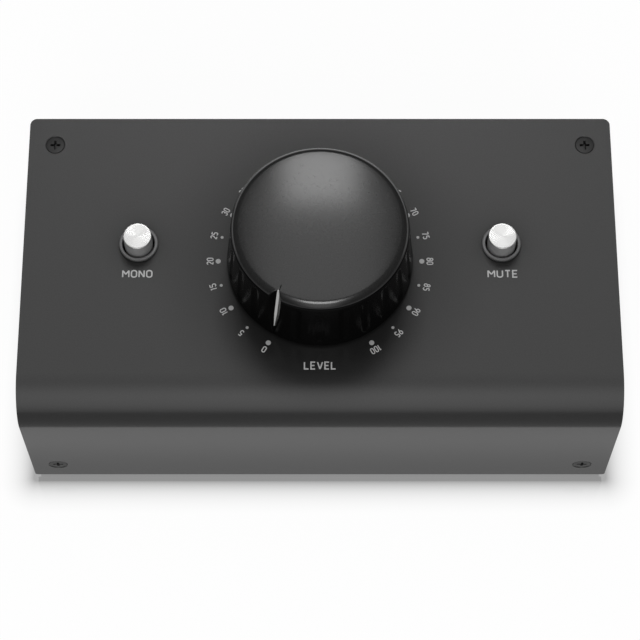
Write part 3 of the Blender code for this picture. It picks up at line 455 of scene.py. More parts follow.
def makeChassis():
    bm = bmesh.new()
    block(bm, chassisLow, chassisHigh)
    openFaces = [f for f in bm.faces if f.normal.z > 0.5 or f.normal.y < -0.5]
    bmesh.ops.delete(bm, geom=openFaces, context="FACES")
    folds = [e for e in bm.edges if len(e.link_faces) == 2]
    bmesh.ops.bevel(bm, geom=folds, offset=chassis["foldRadius"], segments=8, profile=0.5,
                    affect="EDGES", material=-1)
    corners = [v for v in bm.verts if v.co.y < chassisLow.y + 1e-5 and v.co.z > chassisHigh.z - 1e-5]
    bmesh.ops.bevel(bm, geom=corners, offset=chassis["frontCorner"], segments=16, profile=0.5,
                    affect="VERTICES", material=-1)
    obj = toObject("chassis", bm)
    thickness, lipDepth = take(chassis, "thickness lipDepth")
    thicken(obj, thickness, -1)
    lipHalf = chassisHigh.x - thickness - chassis["relief"]
    innerY = wallY - thickness
    backLip, frontLip = bmesh.new(), bmesh.new()
    block(backLip, (-lipHalf, innerY - lipDepth, chassisHigh.z - thickness),
          (lipHalf, innerY + thickness / 2, chassisHigh.z))
    block(frontLip, (-lipHalf, chassisLow.y, chassisLow.z + thickness / 2),
          (lipHalf, chassisLow.y + thickness, chassisLow.z + lipDepth))
    cutters = [roundHole(chassis["thread"], surfacePlace(name), steps=32) for name in screwNodes]
    for name in socketNames:
        cutters.append(roundHole(chassis["socketHole"], socketPlace(name + "_shell"), steps=96))
        for corner in ("upper", "lower"):
            cutters.append(roundHole(chassis["screwHole"], socketPlace(f"{name}_screw_{corner}"), steps=32))
    cutters.append(roundHole(chassis["miniHole"], socketPlace("mini_jack_nut"), steps=48))
    cutAndJoin(obj, cutters, [toObject("lip", backLip), toObject("lip", frontLip)])
    finishPiece(obj, chassisPaint, ["base_chassis"])
    softenEdges(obj, chassis["softEdge"])


makeChassis()
print("chassis made")


# Feet

foot = {"draft": 0.0005, "edge": 0.0008, "dimple": 0.0022, "dimpleDepth": 0.0008}


def makeFeet():
    for name in [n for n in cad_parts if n.startswith("foot_")]:
        low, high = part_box(name)
        radius, top = (high.x - low.x) / 2, high.z
        draft, edge, dimple, deep = take(foot, "draft edge dimple dimpleDepth")
        outline = fillet([(0, top, 0), (radius - draft, top, 0), (radius, edge, 0.0003), (radius - edge, 0, 0.0003),
                          (dimple, 0, 0.0002), (dimple * 0.8, deep, 0.0002), (0, deep, 0)])
        centre = shift(((low.x + high.x) / 2, (low.y + high.y) / 2, 0))
        obj = toObject(name.replace("foot_", "foot."), spun(outline, 72), centre)
        finishPiece(obj, footRubber, [name])


makeFeet()
print("feet made")


# Level knob

knob = {"lift": 0.0008, "baseRadius": 0.02495, "rimRadius": 0.0234, "fillet": 0.0025, "baseEdge": 0.0005,
        "crownSlope": math.radians(7.5), "wall": 0.0021, "ceiling": 0.0165, "hub": 0.0053, "hubBottom": 0.0057,
        "bore": 0.0031, "boreTop": 0.0162, "columns": 528, "crownRings": 14, "rimRings": 17, "lacqueredRings": 13,
        "highlightRings": 2, "sideRings": 54, "steps": 24, "fluteWidth": 0.0025, "fluteDepth": 0.00035,
        "fluteLow": 0.0043, "fluteHigh": 0.0182, "fluteSoft": 0.00006, "smoothWithin": 0.018, "notchTop": 0.0211,
        "notchBottom": 0.0242, "notchBow": 0.0006, "notchTopZ": 0.0229, "notchBottomZ": 0.0040,
        "notchOpening": math.tan(math.radians(42)), "notchSoft": 0.00012, "highlightReach": 0.0001, "crowd": 0.6,
        "crowdWidth": 0.15}


def smoothLeast(a, b, soft):
    # the lesser of two values, with the corner between them rounded
    share = max(soft - abs(a - b), 0) / soft
    return min(a, b) - share * share * soft / 4


def fluteDepthAt(around, height, radius):
    pitch = math.tau / knob["steps"]
    index = round(around / pitch)
    if index % knob["steps"] == 0:
        return 0.0
    width, depth, low, high = take(knob, "fluteWidth fluteDepth fluteLow fluteHigh")
    across = (around - index * pitch) * radius
    along = max(low - height, height - high, 0)
    away = math.hypot(across, along)
    sweep = (width * width / 4 + depth * depth) / (2 * depth)
    if away >= sweep:
        return 0.0
    return -smoothLeast(0, -(math.sqrt(sweep * sweep - away * away) - sweep + depth), knob["fluteSoft"])


def notchRadiusAt(around, height):
    # how far out the V groove lets the surface stand at an angle from the pointer
    bottom, bottomZ, top, topZ = take(knob, "notchBottom notchBottomZ notchTop notchTopZ")
    share = min((height - bottomZ) / (topZ - bottomZ), 1)
    apex = bottom + (top - bottom) * share - knob["notchBow"] * math.sin(math.pi * max(share, 0))
    opening = math.cos(around) - abs(math.sin(around)) / knob["notchOpening"]
    return apex / opening if opening > 0.1 else 1.0


def makeKnob():
    rim, base, slope, rounding, lift, wall = take(knob, "rimRadius baseRadius crownSlope fillet lift wall")
    ceiling, hub, hubBottom, bore, boreTop = take(knob, "ceiling hub hubBottom bore boreTop")
    crownRings, rimRings, sideRings = take(knob, "crownRings rimRings sideRings")
    centreR = rim - rounding
    edgeR = centreR + rounding * math.sin(slope)
    crown = edgeR * math.tan(slope) / 2
    edgeZ = knobHigh.z - panelZ - crown
    centreZ = edgeZ - rounding * math.cos(slope)
    outline = [(edgeR * i / crownRings, edgeZ + crown * (1 - (i / crownRings) ** 2)) for i in range(crownRings)]
    side = math.atan((base - rim) / (centreZ - lift))
    for i in range(rimRings):
        lean = slope + (math.pi / 2 - side - slope) * i / (rimRings - 1)    # from the crown's slope to the side's
        outline.append((centreR + rounding * math.sin(lean), centreZ + rounding * math.cos(lean)))
    lacquered = crownRings + knob["lacqueredRings"]
    start = outline[-1]
    bottom = fillet([(*start, 0), (base, lift, knob["baseEdge"]), (base - wall, lift, 0)], 5)[1:-1]
    outline += [Vector(start).lerp(bottom[0], i / sideRings) for i in range(1, sideRings)]
    outline += bottom
    outer = len(outline)
    outline += fillet([(*outline[-1], 0), (base - wall, lift, 0.0003), (rim - wall - 0.0008, ceiling, 0.001),
                       (hub, ceiling, 0.001), (hub, hubBottom, 0.0003), (bore, hubBottom, 0.0003),
                       (bore, boreTop, 0), (0, boreTop, 0)])[1:]
    bm = bmesh.new()
    outerLayer = bm.verts.layers.int.new("outer")
    topLayer = bm.verts.layers.int.new("top")
    verts = [bm.verts.new((r, 0, z)) for r, z in outline]
    for i, vert in enumerate(verts):
        vert[outerLayer] = 1 if i < outer else 0
        vert[topLayer] = (i < lacquered) + (lacquered - knob["highlightRings"] <= i < lacquered)    # 2 on the rings that carry the painted highlight
    edges = [bm.edges.new(pair) for pair in zip(verts, verts[1:])]
    bmesh.ops.spin(bm, geom=verts + edges, axis=(0, 0, 1), cent=(0, 0, 0), angle=math.tau,
                   steps=knob["columns"], use_merge=True)
    bmesh.ops.remove_doubles(bm, verts=bm.verts, dist=1e-7)
    bmesh.ops.recalc_face_normals(bm, faces=bm.faces)
    for vert in bm.verts:
        x, y, z = vert.co
        radius = math.hypot(x, y)
        around = math.atan2(y, x)
        around *= 1 - knob["crowd"] * math.exp(-((around / knob["crowdWidth"]) ** 2))    # more columns at the notch
        if vert[outerLayer] and radius > knob["smoothWithin"]:
            radius -= fluteDepthAt(around, z, radius)
            notched = smoothLeast(radius, notchRadiusAt(around, z), knob["notchSoft"])
            if notched < radius - knob["highlightReach"]:
                vert[topLayer] = 0
            elif notched < radius - 0.000001 and vert[topLayer]:    # only just cut: the painted highlight line runs round the notch
                vert[topLayer] = 2
            radius = notched
        vert.co = (radius * math.cos(around), radius * math.sin(around), z)
    for face in bm.faces:
        face.material_index = min(vert[topLayer] for vert in face.verts)
    place = shift(knobCentre) @ Matrix.Rotation(pointerAngle, 4, "Z")
    obj = toObject("levelKnob", bm, place)
    finishPiece(obj, glossAbs, ["knob_body"], "level_knob", sharp=50)
    obj.data.materials.append(softTouch)
    obj.data.materials.append(paintedHighlightEdge)


makeKnob()
print("level knob made")


# Pointer blade

pointer = {"width": 0.00074, "top": 0.0226, "low": 0.0051, "outerTop": 0.02135, "outerLow": 0.02425, "root": 0.0015,
           "taper": 0.006, "tip": 0.3, "softEdge": 0.0001}


def makePointer():
    width, top, low, outerTop, outerLow, root = take(pointer, "width top low outerTop outerLow root")
    outline = [(outerTop, top), (outerTop - root, top), (outerLow - root, low), (outerLow, low)]
    bm = plate(outline, -width / 2, width / 2)
    bmesh.ops.bisect_plane(bm, geom=bm.verts[:] + bm.edges[:] + bm.faces[:], plane_co=(0, low + pointer["taper"], 0),
                           plane_no=(0, 1, 0))
    for vert in bm.verts:
        if vert.co.y < low + 1e-6:
            vert.co.z *= pointer["tip"]    # the blade thins towards its foot
    stand = Matrix.Rotation(pointerAngle, 4, "Z") @ Matrix.Rotation(math.pi / 2, 4, "X")
    obj = toObject("knobPointer", bm, shift(knobCentre) @ stand)
    finishPiece(obj, whiteAbs, ["knob_pointer"], "level_knob")
    softenEdges(obj, pointer["softEdge"], 3)


makePointer()
print("pointer made")


# Buttons

button = {"ringOuter": 0.00522, "ringInner": 0.00437, "ringTop": 0.001, "ringSleeve": 0.00468, "ringFoot": 0.0001,
          "ringDeep": -0.0035, "ringEdge": 0.00022, "cap": 0.0038, "capTop": 0.0055, "capDome": 0.0001,
          "capEdge": 0.0002, "capSkirt": -0.0045, "capRings": 8, "finishedSlope": 0.25, "stemHalf": 0.0018,
          "stemTop": 0.0002}


def makeButtons():
    for side in ("mono", "mute"):
        place = shift((*ringNodes[side + "_ring"].xy, panelZ))
        inner, sleeve, outer, foot = take(button, "ringInner ringSleeve ringOuter ringFoot")
        deep, top, edge = take(button, "ringDeep ringTop ringEdge")
        outline = fillet([(sleeve, foot, 0), (sleeve, deep, 0), (inner, deep, 0), (inner, top, edge),
                          (outer, top, edge * 1.6), (outer, foot, 0)])
        ring = toObject(side + "Ring", spun(outline, 96, closed=True), place)
        finishPiece(ring, ringAbs, [side + "_ring"])

        radius, top, dome, rings, edge, skirt = take(button, "cap capTop capDome capRings capEdge capSkirt")
        face = [(radius * i / rings, top - dome * (i / rings) ** 2) for i in range(rings)]
        outline = face[:-1] + fillet([face[-1] + (0,), (radius, top - dome, edge), (radius, skirt, 0.0002),
                                      (0, skirt, 0)])
        cap = toObject(side + "Cap", spun(outline, 96), place)
        half = button["stemHalf"]
        bore = bmesh.new()
        block(bore, (-half, -half, skirt - 0.001), (half, half, button["stemTop"]))
        cutAndJoin(cap, [toObject("bore", bore, place)])
        finishPiece(cap, capNickel, [side + "_cap"], side + "_button")
        cap.data.materials.append(capSide)
        for polygon in cap.data.polygons:
            if polygon.normal.z < button["finishedSlope"]:
                polygon.material_index = 1


makeButtons()
print("buttons made")


# Return springs, built at rest: the real ones flatten as the buttons go down

spring = {"wire": 0.00025, "turns": 5, "perTurn": 28, "dead": 0.75, "deadPitch": 0.0007, "travel": 0.003}


def makeSprings():
    for side in ("mono", "mute"):
        low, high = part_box(side + "_spring")
        wire, turns, perTurn, dead, pitch = take(spring, "wire turns perTurn dead deadPitch")
        radius = (high.x - low.x) / 2 - wire
        centre = (low + high) / 2
        bottom, top = low.z + wire, high.z - wire
        rise = top - bottom - 2 * dead * pitch
        curve = bpy.data.curves.new(side + "Spring", "CURVE")
        curve.dimensions, curve.bevel_depth, curve.bevel_resolution = "3D", wire, 3
        curve.use_fill_caps = True
        line = curve.splines.new("POLY")
        line.points.add(turns * perTurn)
        for i, point in enumerate(line.points):
            turn = i / perTurn
            active = min(max((turn - dead) / (turns - 2 * dead), 0), 1)
            ends = min(turn, dead) + max(turn - (turns - dead), 0)
            angle = math.tau * turn
            point.co = (centre.x + radius * math.cos(angle), centre.y + radius * math.sin(angle),
                        bottom + pitch * ends + rise * active, 1)
        holder = bpy.data.objects.new("wire", curve)
        bpy.context.scene.collection.objects.link(holder)
        graph = bpy.context.evaluated_depsgraph_get()
        mesh = bpy.data.meshes.new_from_object(holder.evaluated_get(graph))
        bpy.data.objects.remove(holder)
        obj = bpy.data.objects.new(side + "Spring", mesh)
        bpy.context.scene.collection.objects.link(obj)
        finishPiece(obj, springWire, [side + "_spring"])
        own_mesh(obj)


makeSprings()
print("springs made")


# Large sockets on the back

def chamferedBore(radius, mouth, chamfer, deep, steps):
    # chamfer is its width and how far it reaches above and below the mouth
    width, half = chamfer
    return spun([(0, mouth + half), (radius + width, mouth + half), (radius, mouth - half), (radius, deep), (0, deep)],
                steps)


socket = {"nose": 0.0118, "stand": 0.0006, "noseEdge": 0.0005, "flangeHalfWidth": 0.013, "flangeHalfHeight": 0.0155,
          "flangeThickness": 0.0025, "gap": 0.0002, "outputBore": 0.0083, "inputBore": 0.00955, "cupDepth": 0.0145,
          "keyHalf": 0.0016, "keyInner": 0.0078, "keyOuter": 0.0095, "pin": 0.0012, "pinPoint": 0.0009,
          "insert": 0.00785, "jackBore": 0.0033, "insertFace": -0.0002, "pinHole": 0.0014, "pinHoleReach": 0.011,
          "pinHoleTurns": (35, 145, 270), "pinSpread": 0.0056, "softEdge": 0.00012}


def shellBody(name, boreRadius):
    node = name + "_shell"
    low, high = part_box(node)
    place = socketPlace(node)
    flangeTop = -chassis["thickness"] - socket["gap"]
    flangeUnder = flangeTop - socket["flangeThickness"]
    blockEnd = low.y - wallY
    radius, stand, edge, cup = take(socket, "nose stand noseEdge cupDepth")
    nose = fillet([(0, stand, 0), (radius, stand, edge), (radius, flangeUnder - 0.001, 0),
                   (0, flangeUnder - 0.001, 0)], 5)
    obj = toObject(name.replace("_", ".") + ".shell", spun(nose, 128), place)
    flange = plate(roundedOutline(socket["flangeHalfWidth"], socket["flangeHalfHeight"], 0.002), flangeUnder, flangeTop)
    body = plate(roundedOutline(radius, radius + 0.001, 0.0015), blockEnd, flangeUnder + 0.0005)
    bore = chamferedBore(boreRadius, stand, (0.0008, 0.0004), -cup, 128)
    joined = [toObject("flange", flange, place), toObject("body", body, place)]
    return obj, place, joined, [toObject("bore", bore, place)]


def finishShell(name, obj, cutters, joined):
    cutAndJoin(obj, cutters, joined)
    finishPiece(obj, blackNylon, [name + "_shell"])
    softenEdges(obj, socket["softEdge"])


def makeOutputs():
    for name in ("output_left", "output_right"):
        obj, place, joined, cutters = shellBody(name, socket["outputBore"])
        half, outer, inner = socket["keyHalf"], -socket["keyOuter"], -socket["keyInner"]
        key = plate([(-half, outer), (half, outer), (half, inner), (-half, inner)],
                    -socket["cupDepth"], socket["stand"] + 0.001)
        cutters.append(toObject("key", key, place))
        pinNodes = [f"{name}_pin_{number}" for number in (1, 2, 3)]
        for pinNode in pinNodes:
            cutters.append(roundHole(socket["pin"] + 0.0001, socketPlace(pinNode), reach=0.04, steps=32))
        finishShell(name, obj, cutters, joined)
        for pinNode in pinNodes:
            low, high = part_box(pinNode)
            radius, tip, end = socket["pin"], high.y - wallY, low.y - wallY
            outline = fillet([(0, tip, 0), (radius, tip, socket["pinPoint"]), (radius, end, 0), (0, end, 0)], 8)
            pin = toObject(pinNode.replace("_", "."), spun(outline, 32), socketPlace(pinNode))
            finishPiece(pin, silverPlate, [pinNode])


def makeInputs():
    for name in ("input_left", "input_right"):
        obj, place, joined, cutters = shellBody(name, socket["inputBore"])
        cutters.append(roundHole(socket["jackBore"] + 0.0001, place, reach=0.04, steps=64))
        finishShell(name, obj, cutters, joined)
        floor = -socket["cupDepth"] + socket["gap"]
        face, bore, outer = socket["insertFace"], socket["jackBore"], socket["insert"]
        outline = fillet([(outer, floor, 0), (bore, floor, 0), (bore, face - 0.0006, 0.0002),
                          (bore + 0.0007, face, 0.0001), (outer, face, 0.0004), (outer, floor, 0)])
        insert = toObject(name.replace("_", ".") + ".insert", spun(outline[:-1], 96, closed=True), place)
        holes = []
        for degrees in socket["pinHoleTurns"]:
            spread, angle = socket["pinSpread"], math.radians(degrees)
            away = place @ shift((spread * math.cos(angle), -spread * math.sin(angle), face))
            holes.append(roundHole(socket["pinHole"], away, reach=socket["pinHoleReach"], steps=32))
        cutAndJoin(insert, holes)
        finishPiece(insert, insertPbt, [name + "_insert"])
        softenEdges(insert, socket["softEdge"])


makeOutputs()
makeInputs()
print("large sockets made")


# Screws of the sockets

socketScrew = {"head": 0.0027, "headHeight": 0.0018, "shank": 0.0012, "length": 0.008, "stand": 0.0001,
               "slotLength": 0.0013, "slotWidth": 0.0003, "slotDepth": 0.0009, "slotTaper": 0.5}


def makeSocketScrews():
    head, height, stand, shank, length = take(socketScrew, "head headHeight stand shank length")
    top = stand + height
    outline = fillet([(0, top, 0), (head * 0.55, top, 0.001), (head, stand + height * 0.45, 0.0005),
                      (head, stand, 0.0001), (shank, stand, 0), (shank, -length, 0.0002), (0, -length, 0)])
    for name in socketNames:
        for corner in ("upper", "lower"):
            node = f"{name}_screw_{corner}"
            place = socketPlace(node)
            obj = toObject(node.replace("_", "."), spun(outline, 48), place)
            cutAndJoin(obj, crossCutters(place @ shift((0, 0, top)), socketScrew))
            finishPiece(obj, blackZinc, [node])


makeSocketScrews()
print("socket screws made")


# Mini jack

mini = {"halfWidth": 0.0045, "halfHeight": 0.0055, "bush": 0.003, "bore": 0.0018, "deep": -0.0155, "edge": 0.0003,
        "nut": 0.0042, "nutTop": 0.0021, "notchTurns": (90, 270), "notchHalf": 0.0005, "notchDepth": 0.0006,
        "softEdge": 0.0001, "nutSoftEdge": 0.00008}


def makeMiniJack():
    low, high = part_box("mini_jack")
    place = socketPlace("mini_jack_nut")
    top, end = high.y - wallY, low.y - wallY
    bodyTop = -chassis["thickness"] - socket["gap"]
    body = plate(roundedOutline(mini["halfWidth"], mini["halfHeight"], 0.0006, 3), end, bodyTop)
    obj = toObject("miniJack", body, place)
    radius, edge, nut, nutTop = take(mini, "bush edge nut nutTop")
    bush = fillet([(0, top, 0), (radius, top, edge), (radius, bodyTop - 0.001, 0), (0, bodyTop - 0.001, 0)])
    bore = chamferedBore(mini["bore"], top, (0.0006, 0.0003), mini["deep"], 48)
    cutAndJoin(obj, [toObject("bore", bore, place)], [toObject("bush", spun(bush, 64), place)])
    finishPiece(obj, blackNylon, ["mini_jack"])
    softenEdges(obj, mini["softEdge"])

    inner, half = radius + 0.0001, mini["notchHalf"]
    outline = fillet([(inner, nutTop, 0), (inner, 0.0001, 0), (nut, 0.0001, 0), (nut, nutTop, edge),
                      (inner, nutTop, 0)])
    ring = toObject("miniJackNut", spun(outline[:-1], 72, closed=True), place)
    slots = []
    for turn in mini["notchTurns"]:
        bm = bmesh.new()
        block(bm, (inner - 0.0005, -half, nutTop - mini["notchDepth"]), (nut + 0.001, half, nutTop + 0.001))
        slots.append(toObject("notch", bm, place @ Matrix.Rotation(math.radians(turn), 4, "Z")))
    cutAndJoin(ring, slots)
    finishPiece(ring, nutNickel, ["mini_jack_nut"])
    softenEdges(ring, mini["nutSoftEdge"])


makeMiniJack()
print("mini jack made")


# Printing on the panel

printing = {"lift": 0.00004, "ink": 0.00002, "dotRing": 0.02737, "bigDot": 0.00069, "smallDot": 0.0004,
            "numberRing": 0.02955, "numberHeight": 0.0016, "numberWidths": (0.0008, 0.00184, 0.00272),
            "numberStroke": 0.0002664, "letterHeight": 0.00193, "letterStroke": 0.00037, "letterGap": 0.28,
            "words": (("LEVEL", 0, -0.0302, 0.0082), ("MONO", -0.049, -0.0037, 0.0078),
                      ("MUTE", 0.049, -0.0037, 0.0078))}


def bow(centreX, centreY, radiusX, radiusY, start, end, steps=10):
    angles = [math.radians(start + (end - start) * i / steps) for i in range(steps + 1)]
    return [(centreX + radiusX * math.cos(a), centreY + radiusY * math.sin(a)) for a in angles]


def tallRing(low, high, half, centre):
    # an upright ring with straight sides, closed on itself
    ring = bow(centre, high - half, half, half, 0, 180) + bow(centre, low + half, half, half, 180, 360)
    return ring + [ring[0]]


def glyphs():
    # strokes of each sign, on a body one unit high, with the width that it takes
    half, wide = 0.25, 0.5
    return {
        "0": (wide, [tallRing(0, 1, half, half)]),
        "1": (0.3, [[(0.1, 0.84), (0.24, 0.97)], [(0.26, 1), (0.26, 0)]]),
        "2": (wide, [bow(half, 0.75, half, 0.25, 170, -10) + [(0.42, 0.52), (0.03, 0.05)], [(0, 0), (wide, 0)]]),
        "3": (wide, [bow(half, 0.76, 0.23, 0.24, 160, -90), bow(half, 0.27, half, 0.27, 90, -160)]),
        "4": (wide, [[(0.3, 1), (0.02, 0.3)], [(0, 0.27), (wide, 0.27)], [(0.38, 0.52), (0.38, 0)]]),
        "5": (wide, [[(0.46, 1), (0.03, 1)], [(0.05, 1), (0.04, 0.53)], bow(half, 0.3, half, 0.3, 125, -150)]),
        "6": (wide, [tallRing(0, 0.6, half, half), [(0.01, 0.38), (0.34, 1)]]),
        "7": (wide, [[(0, 1), (wide, 1)], [(0.47, 0.97), (0.18, 0)]]),
        "8": (wide, [tallRing(0, 0.55, half, half), tallRing(0.55, 1, 0.22, half)]),
        "9": (wide, [tallRing(0.4, 1, half, half), [(0.49, 0.62), (0.16, 0)]]),
        "L": (0.46, [[(0, 1), (0, 0), (0.46, 0)]]),
        "E": (0.46, [[(0.46, 1), (0, 1), (0, 0), (0.46, 0)], [(0, 0.5), (0.4, 0.5)]]),
        "V": (0.56, [[(0, 1), (0.27, 0)], [(0.29, 0), (0.56, 1)]]),
        "M": (0.66, [[(0, 0), (0, 1)], [(0.02, 0.97), (0.33, 0.42)], [(0.33, 0.42), (0.64, 0.97)],
                     [(0.66, 1), (0.66, 0)]]),
        "O": (0.56, [tallRing(0, 1, 0.28, 0.28)]),
        "N": (0.54, [[(0, 0), (0, 1)], [(0.02, 0.96), (0.52, 0.04)], [(0.54, 0), (0.54, 1)]]),
        "U": (0.54, [[(0, 1)] + bow(0.27, 0.27, 0.27, 0.27, 180, 360) + [(0.54, 1)]]),
        "T": (0.5, [[(0, 1), (0.5, 1)], [(0.25, 1), (0.25, 0)]]),
    }


def writeWord(bm, word, height, width, place):
    # the word is centred on its place and fitted to its width
    signs, gap = glyphs(), printing["letterGap"]
    total = sum(signs[letter][0] for letter in word) + gap * (len(word) - 1)
    scaleX = width / total
    x = -total / 2
    for letter in word:
        for number, stroke in enumerate(signs[letter][1]):
            points = [Vector(((x + u) * scaleX, (v - 0.5) * height, number * printing["ink"] / 8)) for u, v in stroke]
            closed = (points[0] - points[-1]).length < 1e-7
            verts = [bm.verts.new(place @ point) for point in (points[:-1] if closed else points)]
            for pair in zip(verts, verts[1:] + verts[:1] if closed else verts[1:]):
                bm.edges.new(pair)
        x += signs[letter][0] + gap


def inkPiece(name, bm, stroke):
    drawOut(bm, bmesh.ops.extrude_edge_only(bm, edges=bm.edges[:]), (0, 0, printing["ink"]))
    obj = toObject(name, bm)
    thicken(obj, stroke, 0)
    cutAndJoin(obj)
    return finishPiece(obj, printInk)


def makePrinting():
    height = panelZ + printing["lift"]
    numbers, dots = bmesh.new(), bmesh.new()
    for value in range(0, 101, 5):
        angle = pointerAngle - math.radians(3 * value)
        outward = Vector((math.cos(angle), math.sin(angle), 0))
        turn = Matrix.Rotation(angle - math.pi / 2, 4, "Z")
        spot = Vector((knobCentre.x, knobCentre.y, height))
        place = shift(spot + outward * printing["numberRing"]) @ turn
        width = printing["numberWidths"][len(str(value)) - 1]
        writeWord(numbers, str(value), printing["numberHeight"], width, place)
        radius = printing["bigDot"] if value % 10 == 0 else printing["smallDot"]
        dotPlace = shift(spot + outward * printing["dotRing"] + Vector((0, 0, printing["ink"] / 2)))
        bmesh.ops.create_cone(dots, cap_ends=True, segments=32, radius1=radius, radius2=radius,
                              depth=printing["ink"], matrix=dotPlace)
    inkPiece("dialNumbers", numbers, printing["numberStroke"])
    finishPiece(toObject("dialDots", dots), dotInk)
    words = bmesh.new()
    for word, x, y, width in printing["words"]:
        place = shift((knobCentre.x + x, knobCentre.y + y, height))
        writeWord(words, word, printing["letterHeight"], width, place)
    inkPiece("controlNames", words, printing["letterStroke"])


makePrinting()
print("printing made")


# Inner pieces that keep their CAD shape

innerFinish = {turnedSteel: ("pot_shaft", "pot_washer"),
               zincPlate: ("pot_bush", "pot_housing", "pot_nut", "board_screw_left", "board_screw_right"),
               blackNylon: ("mono_plunger", "mute_plunger", "mono_switch_housing", "mute_switch_housing",
                            "control_board_plug", "connector_board_plug"),
               laminate: ("control_board", "connector_board"),
               drawnBrass: ("board_standoff_left", "board_standoff_right"),
               ribbonPvc: ("ribbon_cable",)}
for material, nodes in innerFinish.items():
    for node in nodes:
        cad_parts[node].data.materials.clear()
        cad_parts[node].data.materials.append(material)
print("inner pieces finished")


# Floor: a white table whose polish fades out round the object

floorFinish = {"size": 6.0, "tone": 0.8, "glow": 0.95, "shade": 0.16, "polish": 0.73, "fade": 0.0033, "dull": 0.04,
               "roughness": 0.1, "contact": (0.002, 0.02), "contactGlow": 0.5, "far": (0.013, 0.021),
               "farGlow": 0.32, "reflectedGlow": 0.96, "behind": (-0.03, 0.05)}
white = (1, 1, 1, 1)


def footprintDistance(tree):
    # how far a point of the floor lies outside the case's outline
    centreY = (coverLow.y + chassisHigh.y) / 2
    half = ((coverHigh.x - coverLow.x) / 2, (chassisHigh.y - coverLow.y) / 2, 10)
    away = addNode(tree, "ShaderNodeTexCoord").outputs["Object"]
    for operation, value in (("SUBTRACT", (0, centreY, 0)), ("ABSOLUTE", (0, 0, 0)), ("SUBTRACT", half),
                             ("MAXIMUM", (0, 0, 0))):
        away = addNode(tree, "ShaderNodeVectorMath", {"operation": operation, 0: away, 1: value}).outputs[0]
    return addNode(tree, "ShaderNodeVectorMath", {"operation": "LENGTH", 0: away}).outputs["Value"]


def makeFloor():
    bm = bmesh.new()
    bmesh.ops.create_grid(bm, x_segments=1, y_segments=1, size=floorFinish["size"])
    floor = toObject("floor", bm)
    material = bpy.data.materials.new("glossyWhiteTable")
    material.use_nodes = True
    tree = material.node_tree
    tree.nodes.remove(tree.nodes["Principled BSDF"])
    distance = footprintDistance(tree)
    place = addNode(tree, "ShaderNodeTexCoord").outputs["Object"]
    depth = addNode(tree, "ShaderNodeSeparateXYZ", {"Vector": place}).outputs["Y"]
    rays = addNode(tree, "ShaderNodeLightPath").outputs
    seen = rays["Is Camera Ray"]
    for ray in ("Is Glossy Ray", "Is Transmission Ray"):
        seen = addNode(tree, "ShaderNodeMath", {"operation": "MAXIMUM", 0: seen, 1: rays[ray]}).outputs[0]

    # in reflections the table carries a painted contact shade where the case stands over it, and is dark far out in
    # front and beside it
    contact, contactGlow, farRange, farGlow, behind = take(floorFinish, "contact contactGlow far farGlow behind")
    paintedContactShade, far, back = [
        addNode(tree, "ShaderNodeMapRange", {"interpolation_type": "SMOOTHSTEP", "Value": value, "From Min": start,
                                             "From Max": end, "To Min": first, "To Max": last}).outputs[0]
        for value, (start, end), first, last in ((distance, contact, contactGlow, 1), (distance, farRange, 1, farGlow),
                                                 (depth, behind, 0, 1))]
    shadeDimmed = far
    for operation, value in (("MAXIMUM", back), ("MULTIPLY", paintedContactShade), ("MULTIPLY", floorFinish["reflectedGlow"])):
        shadeDimmed = addNode(tree, "ShaderNodeMath", {"operation": operation, 0: shadeDimmed, 1: value}).outputs[0]
    strength = addNode(tree, "ShaderNodeMix", {"data_type": "FLOAT", "Factor": rays["Is Camera Ray"], 2: shadeDimmed,
                                               3: floorFinish["glow"]})
    glow = addNode(tree, "ShaderNodeEmission", {"Color": white, "Strength": strength.outputs[0]})

    matte, shaded = [addNode(tree, "ShaderNodeBsdfDiffuse", {"Color": (tone, tone, tone, 1)}).outputs[0]
                     for tone in take(floorFinish, "tone shade")]
    both = addNode(tree, "ShaderNodeAddShader", {0: shaded, 1: glow.outputs[0]}).outputs[0]
    lit = addNode(tree, "ShaderNodeMixShader", {"Fac": seen, 1: matte, 2: both}).outputs[0]

    # the polish fades out with the distance, and only the camera sees it
    polish = distance
    for operation, value in (("MULTIPLY", -1 / floorFinish["fade"]), ("EXPONENT", 0), ("SUBTRACT", floorFinish["dull"]),
                             ("MINIMUM", floorFinish["polish"]), ("MAXIMUM", 0), ("MULTIPLY", rays["Is Camera Ray"])):
        polish = addNode(tree, "ShaderNodeMath", {"operation": operation, 0: polish, 1: value}).outputs[0]
    gloss = addNode(tree, "ShaderNodeBsdfGlossy", {"Roughness": floorFinish["roughness"]}).outputs[0]
    mirror = addNode(tree, "ShaderNodeMixShader", {"Fac": polish, 1: lit, 2: gloss})
    tree.links.new(mirror.outputs[0], tree.nodes["Material Output"].inputs["Surface"])
    floor.data.materials.append(material)


makeFloor()


# Studio: a dim dome with a bright front, and soft boxes that each light only their own pieces. A diffuse one
# isn't mirrored in them.

